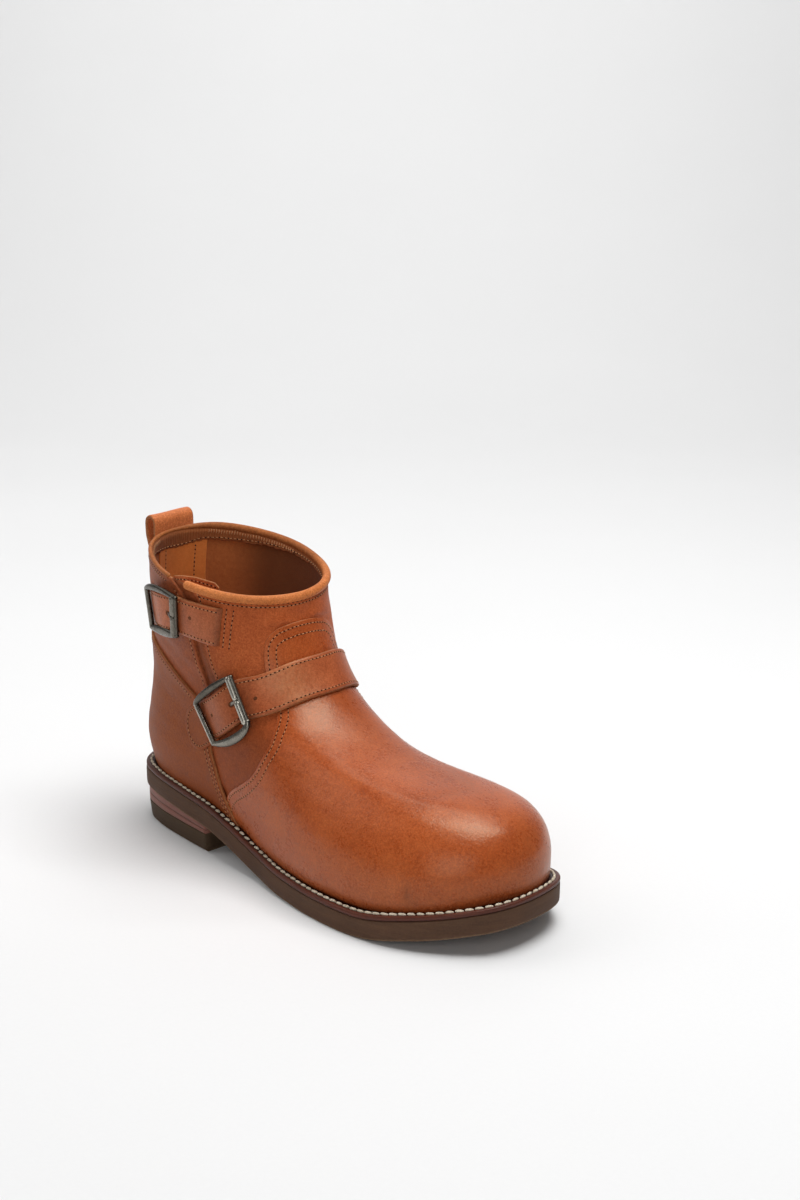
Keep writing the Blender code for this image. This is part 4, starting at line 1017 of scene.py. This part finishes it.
def make_strap(name, place, start, end, half, lift, thick, replaces, round_start=0.0, round_end=0.0, crown=0.25, step=1.0, materials=None, painted_shade_at=(), wear_and_painted_light=None):
    along, across, near = strap_grid(start, end, half, step, round_start, round_end)
    s, t = place(along, across)
    low = lift(along, across, t)
    high = low + thick + crown * (1 - (across / half) ** 2) - rim_fall(near, thick)
    build = Build()
    mark = 0.10 * hump(half - np.abs(across), 1.6)
    # painted shade in spots along the strap
    for spot, much in painted_shade_at:
        mark = mark + much * hump(along - spot, 2.6)
    # painted shade and painted sheen given by the caller as a function of the turn
    if wear_and_painted_light is not None:
        mark = mark + wear_and_painted_light(t)
    slab(build, s, t, high, low, near, value=mark)
    return piece(name, build, materials or [STRAP_LEATHER, CUT_EDGE], replaces)


def sew_strap(threads, holes, place, along, across, top, **how):
    s, t = place(along, across)
    sew_on(threads, holes, s, t, top(along, across, t), **how)


def disc(build, place, along, across, top, radius, slot=0):
    """Punched hole: a dark cup with a soft rim, let into the strap; its dark colour is painted shade for the hole's
    depth.
    """
    a = np.arange(16) * 2 * np.pi / 16
    rings = []
    for r, h in ((1.25, -0.10), (1.12, 0.05), (0.98, 0.06), (0.82, 0.02), (0.0, 0.02)):
        x, y = along + radius * r * np.cos(a), across + radius * r * np.sin(a)
        s, t = place(x, y)
        rings.append(upper_off(s, t, top(x, y, t) + h))
    points = np.array(rings).reshape(-1, 3)
    faces = grid_faces(5, 16, wrap=True) + [tuple(range(15, -1, -1))]
    if not turned_out(points, faces):
        faces = [f[::-1] for f in faces]
    build.extend(points, faces, slot)


def make_buckle(name, place, bar, half_width, height, prong_from, replaces, slant=0.0, bulge=(4.2, 2.2), reach=(2.3, 2.3), shorter=0.0, shine=1.0):
    """Cast frame with two straight bars and bowed sides, a roller in two halves on the front bar, and the prong between them.

    The frame is turned a little on its strap: slant is how far it moves along for each mm across."""
    under, over = -half_width - reach[0], half_width + reach[1]
    frame_build = Build()

    def at(along, across, high):
        across = np.asarray(across, float)
        s, t = place(bar + np.asarray(along, float) + slant * across, across)
        return upper_off(s, t, high)

    def up(along, across):
        across = np.asarray(across, float)
        s, t = place(bar + np.asarray(along, float) + slant * across, across)
        return upper_frame(s, t)[1]

    ends = {}
    for along in (0.0, BUCKLE_LENGTH):
        a, b = at([along, along], [under, over - (shorter if along == 0 else 0.0)], height(np.array([along, along])))
        middle = at([along], [0.0], height(np.array([along])))[0]
        n = up([along], [0.0])[0]
        rise = max(0.0, float(np.dot(middle - (a + b) / 2, n)))
        ends[along] = a + n * rise, b + n * rise, n
    (a0, b0, n0), (a1, b1, n1) = ends[0.0], ends[BUCKLE_LENGTH]
    f = np.linspace(0, 1, 24)[:, None]
    # the back bar carries a painted highlight along its top, darker at its flanks
    sweep(frame_build, a0 + (b0 - a0) * f, n0, 1.55, 1.55, 18, value=(0.15 * shine, 1.0 * shine))
    # the front bar shows as a thin line beyond the roller that turns on it
    ahead = (a1 + b1) / 2 - (a0 + b0) / 2
    ahead = ahead / np.linalg.norm(ahead)
    sweep(frame_build, a1 + (b1 - a1) * f + 1.5 * ahead - 0.5 * n1, n1, 1.0, 1.2, 14, value=0.35 * shine)
    # the roller's halves carry a painted highlight along their tops
    for lo, hi in ((0.02, 0.435), (0.565, 0.98)):
        sweep(frame_build, a1 + (b1 - a1) * np.linspace(lo, hi, 14)[:, None] - 0.6 * ahead + 0.25 * n1, n1, 2.0, 2.0, 20, value=(0.10 * shine, 1.0 * shine))
    for side, (first, last) in enumerate(((a0, a1), (b0, b1))):
        f = np.linspace(0, 1, 56)
        along = -0.3 + (BUCKLE_LENGTH + 1.8) * f
        bow = 1 - np.abs(2 * f - 1) ** 2.5
        across = under - bulge[0] * bow if side == 0 else over - shorter * (1 - f) + bulge[1] * bow
        last = last + 1.5 * ahead - 0.5 * n1
        widest = at([BUCKLE_LENGTH / 2], [under - bulge[0] if side == 0 else over - shorter / 2 + bulge[1]], height(np.array([BUCKLE_LENGTH / 2])) - 0.3)[0]
        path = first + (last - first) * f[:, None] + (widest - (first + last) / 2) * bow[:, None]
        wide = 1.35 + (1.5 if side == 0 else 0.75) * np.sin(np.pi * f) ** 0.8
        high = 1.65 - 0.35 * bow
        # the bows carry a painted highlight along their tops
        sweep(frame_build, path, up(along, across), wide, high, 18, value=(0.02, (0.50 if side == 0 else 0.15) * shine))
    piece(name, frame_build, [BUCKLE], [replaces])

    build = Build()
    a = np.linspace(prong_from, BUCKLE_LENGTH - 0.2, 16)
    f = (a - a[0]) / (a[-1] - a[0])
    rise = height(a) - 2.4 + 3.9 * f**0.8 - 0.5 * f**6
    radius = 1.15 + 0.35 * hump(f - 0.92, 0.16)
    sweep(build, at(a, np.zeros(16), rise), up(a, np.zeros(16)), radius * 1.15, radius, 16, value=0.3 * shine)
    piece(name + "_prong", build, [BUCKLE], [replaces + "_prong"])


# ---- the sole ------------------------------------------------------------------------------------------------------
def sole_rings(profile, count, base, wobble=0.0):
    """Rings of the sole's outline, one for each (inset, height over base)."""
    rings = []
    a = np.arange(count) * 2 * np.pi / count
    uneven = wobble * (np.sin(9 * a + 0.6) * np.sin(4 * a) + 0.6 * np.sin(23 * a + 1.9) * np.sin(7 * a + 0.3))
    for inset, high in profile:
        loop = outline_loop(count, inset)
        if wobble:
            along = np.roll(loop, -1, 0) - np.roll(loop, 1, 0)
            along /= np.linalg.norm(along, axis=1)[:, None]
            loop = loop + uneven[:, None] * np.column_stack([-along[:, 1], along[:, 0]])
        rings.append(np.column_stack([loop, base(loop[:, 0]) + high]))
    return np.array(rings)


def heel_ring(inset, count=64, across=15):
    loop = outline_loop(1440, inset)
    lateral, medial = loop[:721], np.vstack([loop[720:], loop[:1]])[::-1]
    x0 = loop[:, 0].min()
    x = x0 + 0.02 + (HEEL_BREAST - x0 - 0.02) * np.linspace(0, 1, count) ** 2.2
    a = np.column_stack([x, np.interp(x, lateral[:, 0], lateral[:, 1])])
    b = np.column_stack([x, np.interp(x, medial[:, 0], medial[:, 1])])
    f = np.linspace(0, 1, across + 2)[1:-1, None]
    return np.vstack([a, a[-1] + (b[-1] - a[-1]) * f, b[:0:-1]])


def make_sole():
    count = 360
    profile = [(2.4, 0.0), (1.1, 0.04), (0.40, 0.30), (0.16, 0.75), (0.20, 1.15), (0.32, 1.45), (0.06, 1.9), (0.0, 5.0), (0.0, 8.8), (0.08, 10.5),
               (0.35, 11.1), (1.2, 11.3), (5.6, 11.3), (5.9, 9.5)]
    marks = [0.1, 0.5, 0.9, 0.9, 0.5, 0.1, 0.0, 0.0, 0.0, 0.0, 0.0, 0.0, 0.0, 0.0]
    build = Build()
    loft(build, sole_rings(profile, count, underside, 0.13), value=np.repeat(marks, count))
    piece("outsole_edge_and_tread", build, [SOLE_RUBBER], ["outsole"])

    profile = [(0.5, -2.15), (0.10, -1.6), (0.0, -1.1), (0.0, -0.4), (0.12, 0.15), (0.45, 0.50), (1.0, 0.66), (1.7, 0.68), (2.25, 0.62),
               (2.6, 0.48), (3.2, 0.42), (3.8, 0.52), (4.2, 0.75), (5.0, 0.6), (6.4, 0.0), (13.0, 0.0), (13.0, -WELT_THICK), (6.2, -WELT_THICK), (6.0, -1.65)]
    # painted shade on the welt's top from the stitch channel in to the upper, and at its lower outer edge against the
    # sole
    marks = [0.6, 0.30, 0.0, 0.0, 0.0, 0.0, 0.0, 0.05, 0.3, 0.7, 0.8, 0.8, 0.7, 0.75, 0.85, 0.85, 0.85, 0.85, 0.85]
    rings = sole_rings(profile, count, welt_top).transpose(1, 0, 2)
    build = Build()
    loft(build, rings, value=np.tile(marks, count), closed=True)
    piece("welt_strip", build, [WELT_LEATHER], ["welt"])

    line = outline_loop(900, 3.2)
    line = np.vstack([line, line[:1]])
    points = np.column_stack([line, welt_top(line[:, 0]) + 0.85])
    run = run_of(points)
    at = np.linspace(0, run[-1], 1800)
    points = np.column_stack([np.interp(at, run, points[:, i]) for i in range(3)])
    build = Build()
    sew(build, None, points, np.tile((0.0, 0.0, 1.0), (len(points), 1)), pitch=5.1, dash=4.6, wide=1.7, high=0.9, sink=0.05, slant=6.0)
    piece("welt_stitching", build, [WELT_THREAD])

    turns = np.arange(240) * 1.5
    rings = []
    for out, high in ((-2.7, -3.0), (-2.45, -1.2), (-2.45, 0.55), (-2.7, 0.95), (-3.4, 1.1), (-8.0, 1.15)):
        p = upper_off(np.full(240, 0.12), turns, out)
        rings.append(np.column_stack([p[:, :2], welt_top(p[:, 0]) + high]))
    build = Build()
    loft(build, rings)
    piece("insole_board_and_sock", build, [STAY], ["insole"])

    build = Build()
    rings, marks = [], []
    for f, inset, mark in ((0.0, 0.8, 0.6), (0.02, 0.25, 0.5), (0.07, 0.0, 0.05), (0.30, 0.02, 0.0), (0.46, 0.0, 0.05), (0.485, 0.28, 0.8), (0.515, 0.28, 0.8),
                           (0.54, 0.0, 0.05), (0.75, 0.03, 0.0), (0.92, 0.0, 0.05), (0.98, 0.22, 0.5), (1.0, 0.8, 0.6)):
        ring = heel_ring(HEEL_INSET + inset)
        low, high = TOP_PIECE_THICK + 0.05, underside(ring[:, 0]) - 0.02
        rings.append(np.column_stack([ring, low + (high - low) * f]))
        marks.append(np.full(len(ring), mark))
    loft(build, rings, value=np.concatenate(marks))
    piece("heel_lift_layers", build, [LIFT_LEATHER], ["heel_lift"])

    build = Build()
    rings, marks = [], []
    for z, inset, mark in ((0.0, 1.5, 0.2), (0.06, 0.7, 0.5), (0.35, 0.22, 0.7), (0.9, 0.04, 0.25), (1.6, 0.0, 0.0), (5.5, 0.0, 0.0), (10.4, 0.0, 0.0), (11.05, 0.15, 0.0),
                           (TOP_PIECE_THICK, 0.6, 0.0)):
        ring = heel_ring(HEEL_INSET + HEEL_TAPER * (1 - z / TOP_PIECE_THICK) + inset)
        rings.append(np.column_stack([ring, np.full(len(ring), z)]))
        marks.append(np.full(len(ring), mark))
    loft(build, rings, value=np.concatenate(marks))
    piece("heel_top_piece_rubber", build, [HEEL_RUBBER], ["heel_top_piece"])


# ---- putting it together -------------------------------------------------------------------------------------------
def make_straps(threads, holes):
    punched = Build()
    # the strap over the instep
    place, _, run_at = strip_map(INSTEP_PATH)
    bar, end = run_at(71.5) + 7.6, run_at(284.0)

    def lift(along, across, t):
        a = along - bar
        return 0.85 + 1.15 * (1 - ease(-2.0, 12.0, a)) + 2.4 * np.sin(np.pi * np.clip(a / BUCKLE_LENGTH, 0, 1)) ** 1.2

    def top(along, across, t):
        return lift(along, across, t) + STRAP_THICK + 0.25 * (1 - (across / 12.0) ** 2)

    # painted shade by the buckle's bars and past the roller, painted shade on the strap's part towards the buckle, and
    # a painted sheen near turn 152
    make_strap("instep_strap_leather", place, bar - 2.5, end, STRAP_WIDTH / 2, lift, STRAP_THICK, ["instep_strap"], round_end=9.0, painted_shade_at=((bar + 1.5, 0.45), (bar + BUCKLE_LENGTH - 3.5, 0.35), (bar + BUCKLE_LENGTH + 4.0, 0.25)),
               wear_and_painted_light=lambda t: 0.12 * ease(128, 108, t) - 0.36 * hump(t - 152, 15))
    for across in (-9.8, 9.8):
        a = np.linspace(bar + 2.0, end - 5.0, 700)
        sew_strap(threads, holes, place, a, np.full(700, across), top)
    f = np.linspace(-1, 1, 60)
    sew_strap(threads, holes, place, end - 2.6 - 4.0 * np.abs(f) ** 2.5, 9.8 * f, top)
    for along, across in ((bar + 7.4, 1.2), (bar + 39.0, -0.8)):
        disc(punched, place, along, across, top, 0.95)

    on_counter = lambda along, across, t: COUNTER_TOP_OFF - 0.1 - 0.9 * ease(72.0, 78.0, t)
    tab_top = lambda along, across, t: on_counter(along, across, t) + 1.1
    make_strap("instep_strap_tab", place, bar - 28.5, bar + 1.5, 13.2, on_counter, 1.1, ["instep_strap_base"], round_start=12.0, crown=0.0, step=0.7, materials=[COUNTER_LEATHER, COUNTER_LEATHER])
    f = np.linspace(0, 1, 300)
    a = np.concatenate([bar + 0.0 - 15.5 * f, bar - 15.5 - 10.6 * np.sin(np.pi * f), bar - 15.5 + 15.5 * f])
    b = np.concatenate([np.full(300, -10.9), -10.9 * np.cos(np.pi * f), np.full(300, 10.9)])
    a, b = even(a, b)
    sew_strap(threads, holes, place, a, b, tab_top)
    make_buckle("instep_buckle_frame", place, bar, STRAP_WIDTH / 2, lambda a: 6.0 - 0.3 * np.asarray(a, float) / BUCKLE_LENGTH, 24.0, "instep_buckle", slant=-0.19, bulge=(4.6, 2.0), shorter=2.6, shine=0.9)
    disc(punched, place, bar + 24.6, 0.0, top, 1.5)

    # the strap at the collar
    place, _, run_at = strip_map(TOP_PATH)
    bar, end = run_at(48.0) + 15.2, run_at(121.5)

    def lift(along, across, t):
        a = along - bar
        return 0.75 + 1.9 * np.sin(np.pi * np.clip(a / BUCKLE_LENGTH, 0, 1)) ** 1.2 - 2.2 * ease(end - 3.2, end, along) ** 1.5

    def top(along, across, t):
        return lift(along, across, t) + STRAP_THICK + 0.25 * (1 - (across / 11.25) ** 2)

    # painted shade by the buckle's bars and at the strap's sewn-in end
    make_strap("top_strap_leather", place, bar - 2.5, end, TOP_STRAP_WIDTH / 2, lift, STRAP_THICK, ["top_strap"], painted_shade_at=((bar + 1.5, 0.45), (bar + BUCKLE_LENGTH - 3.5, 0.30), (bar + BUCKLE_LENGTH + 4.0, 0.20), (end - 0.5, 0.45)))
    for across in (-9.1, 9.1):
        a = np.linspace(bar + 2.0, end - 2.5, 300)
        sew_strap(threads, holes, place, a, np.full(300, across), top)
    disc(punched, place, bar + 42.7, 1.6, top, 0.95)
    on_shaft = lambda along, across, t: np.full(np.shape(along), -0.1)
    make_strap("top_strap_tab", place, bar - 16.5, bar + 1.0, 12.3, on_shaft, 1.2, ["top_strap_base"], round_start=10.0, crown=0.0, step=0.7, materials=[COUNTER_LEATHER, COUNTER_LEATHER])
    a = np.concatenate([bar - 6.0 * f, bar - 6.0 - 8.2 * np.sin(np.pi * f), bar - 6.0 + 6.0 * f])
    b = np.concatenate([np.full(300, -10.0), -10.0 * np.cos(np.pi * f), np.full(300, 10.0)])
    a, b = even(a, b)
    sew_strap(threads, holes, place, a, b, lambda along, across, t: np.full(np.shape(along), 1.1))
    make_buckle("top_buckle_frame", place, bar, TOP_STRAP_WIDTH / 2, lambda a: 4.9 + 0.0 * np.asarray(a, float), 24.0, "top_buckle", slant=0.08, bulge=(0.6, 2.0), reach=(0.6, 0.3), shine=0.32)
    disc(punched, place, bar + 24.6, 0.0, top, 1.5)
    # two rows on the shaft hold the strap's sewn-in end
    for along in (end + 2.2, end + 6.2):
        b = np.linspace(-11.0, 11.0, 120)
        s, t = place(np.full(120, along), b)
        sew_on(threads, holes, s, t, shaft_off(s, t))
    piece("punched_holes", punched, [HOLE_SHADE])


def even(a, b):
    run = np.concatenate([[0.0], np.cumsum(np.hypot(np.diff(a), np.diff(b)))])
    at = np.linspace(0, run[-1], len(a))
    return np.interp(at, run, a), np.interp(at, run, b)


def make_stitching(threads, holes, loop):
    # vamp and shield: two rows inside the edge
    s, t = vamp_line()
    for d in (-2.5, -7.0):
        a, b = beside(s, t, d)
        keep = a > 0.25
        sew_on(threads, holes, a[keep], b[keep], vamp_off(a[keep], b[keep]))
    # heel counter: a row along the top, two behind each front edge
    w = np.linspace(-1, 1, 500)
    b = 73.5 * w
    a = spline(COUNTER_TOP, np.abs(b))
    a, b = beside(a, b, -3.4)
    keep = np.abs(b) < 69.5
    sew_on(threads, holes, a[keep], b[keep], counter_off(a[keep], b[keep]))
    a = np.linspace(0.35, 5.45, 300)
    for sign in (1, -1):
        for d in (2.4, 6.0):
            p, q = beside(a, sign * monotone(COUNTER_FRONT, a), sign * d)
            sew_on(threads, holes, p, q, counter_off(p, q))
    # gusset: one row behind the back edge, one before the front edge
    a = np.linspace(6.9, 10.75, 260)
    p, q = beside(a, monotone(GUSSET_BACK, a), 3.2)
    sew_on(threads, holes, p, q, shaft_off(p, q))
    a = np.linspace(7.0, 10.72, 260)
    p, q = beside(a, monotone(GUSSET_FRONT, a), -2.2)
    sew_on(threads, holes, p, q, shaft_off(p, q))
    # collar: a row below the piping, and the row that closes the piping
    q = np.linspace(110.5, 442.0, 1500)
    p = 10.70 + 0.04 * np.sin(np.radians(q - 108))
    sew_on(threads, holes, p, q, shaft_off(p, q))
    q = np.linspace(112.0, 438.0, 1500)
    p = np.full(1500, 10.855)
    sew_on(threads, holes, p, q, shaft_off(p, q), pitch=3.0, dash=0.8, wide=0.4, hole=0.55)
    # gusset's free edge
    b = np.linspace(90.0, 119.0, 240)
    a = monotone(GUSSET_TOP, b) - 0.16
    out = -1.95 - 2.9 * ease(92, 119, b) - 0.5 * hump(b - 104, 5)
    sew_on(threads, holes, a, b, out, pitch=2.4, dash=1.2, hole=0.5)
    # inside: facing and stay
    inside = lambda s, t, off, **how: sew(threads, holes, upper_off(s, t, off), -upper_frame(s, t)[1], **how)
    q = np.linspace(112.0, 438.0, 1500)
    low = monotone(FACING_LOW, q)
    inside(low + 0.12, q, np.full(1500, -UPPER_WALL - 0.95), pitch=2.8)
    # short upright stitches hold the gathers
    for turn in np.arange(268.0, 420.0, 1.9):
        if 331 < turn < 381:
            continue
        a = np.linspace(10.66, 10.92, 12) + 0.02 * np.sin(turn * 7)
        b = np.full(12, turn)
        sew(threads, None, upper_off(a, b, -UPPER_WALL - 0.95 + 1.15 * ease(10.75, 11.05, a)), -upper_frame(a, b)[1], pitch=3.2, dash=2.7, wide=0.5)
    a = np.linspace(2.0, 10.1, 400)
    for turn in (340.5, 371.5):
        inside(a, np.full(400, turn), np.full(400, -UPPER_WALL - 0.7))
    # pull loop: sewn down below the fold
    line, out = loop
    low = np.flatnonzero((line[:, 1] < 166.0) & (np.arange(len(line)) > len(line) // 2))
    y = np.linspace(-13.0, 13.0, 80)
    for k in (low[0], low[0] + 3):
        c, o = line[k], out[k]
        face = np.column_stack([np.full(80, c[0] + o[0]), LOOP_Y + y, np.full(80, c[1] + o[1])])
        sew(threads, holes, face, np.tile((o[0], 0.0, o[1]), (80, 1)))
    for edge in (-12.8, 12.8):
        c, o = line[low], out[low]
        face = np.column_stack([c[:, 0] + o[:, 0], np.full(len(low), LOOP_Y + edge), c[:, 1] + o[:, 1]])
        sew(threads, holes, face, np.column_stack([o[:, 0], np.zeros(len(low)), o[:, 1]]))


make_sole()
make_shaft()
make_vamp()
make_counter()
make_collar()
pull = make_loop()
thread_build, hole_build = Build(), Build()
make_straps(thread_build, hole_build)
make_stitching(thread_build, hole_build, pull)
piece("upper_stitching", thread_build, [TAN_THREAD])
piece("needle_holes", hole_build, [NEEDLE_HOLE_SHADE])


# ---- stage, light, camera ------------------------------------------------------------------------------------------
def make_stage():
    look = Look("stage_paper", Specular_IOR_Level=0.1)
    tone = look.blend([(look.noise(3, 2, 0.5), 0.5), (look.noise(420, 3, 0.6), 0.5)])
    look.colour(look.ramp(tone, (0.2, (0.785, 0.785, 0.785)), (0.8, (0.815, 0.815, 0.815))))
    look.roughness(look.span(tone, 0.3, 0.7, 0.85, 0.95))
    # floor that sweeps up into a wall behind the boot, seen from the camera
    profile = [(-3.2, 0.0), (1.6, 0.0)]
    for a in np.linspace(0, 90, 19)[1:]:
        profile.append((1.6 + 1.4 * np.sin(np.radians(a)), 1.4 - 1.4 * np.cos(np.radians(a))))
    profile.append((3.0, 4.5))
    wide, ahead = np.array((np.cos(AZ), np.sin(AZ))), np.array((-np.sin(AZ), np.cos(AZ)))
    points, faces = [], []
    for d, z in profile:
        for w in (-4.5, 4.5):
            points.append((*(wide * w + ahead * d), z))
    for i in range(len(profile) - 1):
        faces.append((2 * i, 2 * i + 1, 2 * i + 3, 2 * i + 2))
    mesh = bpy.data.meshes.new("stage_sweep")
    mesh.from_pydata([tuple(float(v) for v in p) for p in points], [], faces)
    mesh.polygons.foreach_set("use_smooth", np.full(len(faces), True))
    mesh.materials.append(look.material)
    mesh.update()
    floor = bpy.data.objects.new("stage_sweep", mesh)
    bpy.context.scene.collection.objects.link(floor)


def area_light(name, place, aim, size, power, colour=(1.0, 1.0, 1.0)):
    light = bpy.data.lights.new(name, "AREA")
    light.shape, light.size, light.size_y = "RECTANGLE", size[0], size[1]
    light.energy, light.color = power, colour
    thing = bpy.data.objects.new(name, light)
    back = np.array(place, float) - np.array(aim, float)
    back /= np.linalg.norm(back)
    side = np.cross((0.0, 1.0, 0.0) if abs(back[2]) > 0.9 else (0.0, 0.0, 1.0), back)
    side /= np.linalg.norm(side)
    up = np.cross(back, side)
    thing.matrix_world = Matrix([(*(float(v) for v in row), float(p)) for row, p in zip(np.column_stack([side, up, back]), place)] + [(0, 0, 0, 1)])
    bpy.context.scene.collection.objects.link(thing)


AZ, EL, ROLL = np.radians(44.3), np.radians(14.6), np.radians(0.3)
back = np.array((np.sin(AZ) * np.cos(EL), -np.cos(AZ) * np.cos(EL), np.sin(EL)))
eye = (np.array((207.3, 0.0, 158.9)) + back * 912.6 - (X_MID, Y_MID, 0.0)) * 0.001
right = np.array((np.cos(AZ), np.sin(AZ), 0.0))
above = np.cross(back, right)
right, above = np.cos(ROLL) * right + np.sin(ROLL) * above, np.cos(ROLL) * above - np.sin(ROLL) * right
lens = bpy.data.cameras.new("photo_camera")
lens.sensor_width, lens.sensor_fit, lens.lens = 36.0, "AUTO", 1709.3 / 1200 * 36.0
lens.shift_y = 17.1 / 1200
lens.clip_start, lens.clip_end = 0.05, 50.0
camera = bpy.data.objects.new("photo_camera", lens)
camera.matrix_world = Matrix([(*(float(v) for v in row), float(p)) for row, p in zip(np.column_stack([right, above, back]), eye)] + [(0, 0, 0, 1)])
bpy.context.scene.collection.objects.link(camera)
bpy.context.scene.camera = camera

make_stage()
area_light("key_overhead", (0.28, 0.17, 1.55), (0.03, 0.0, 0.05), (0.9, 0.9), 21.5)
area_light("fill_front", (1.25, -1.62, 0.9), (0.0, 0.0, 0.1), (1.2, 1.2), 9.0)
area_light("fill_left", (-1.25, -0.75, 1.25), (0.0, 0.0, 0.08), (1.3, 1.3), 7.5)
area_light("wall_wash", (-0.9, 0.9, 2.6), (-2.1, 2.15, 1.2), (2.4, 0.8), 53.0)
world = bpy.data.worlds.new("studio")
world.use_nodes = True
world.node_tree.nodes["Background"].inputs["Color"].default_value = (1.0, 1.0, 1.0, 1.0)
world.node_tree.nodes["Background"].inputs["Strength"].default_value = 0.12
bpy.context.scene.world = world
bpy.context.scene.view_settings.view_transform = "Standard"
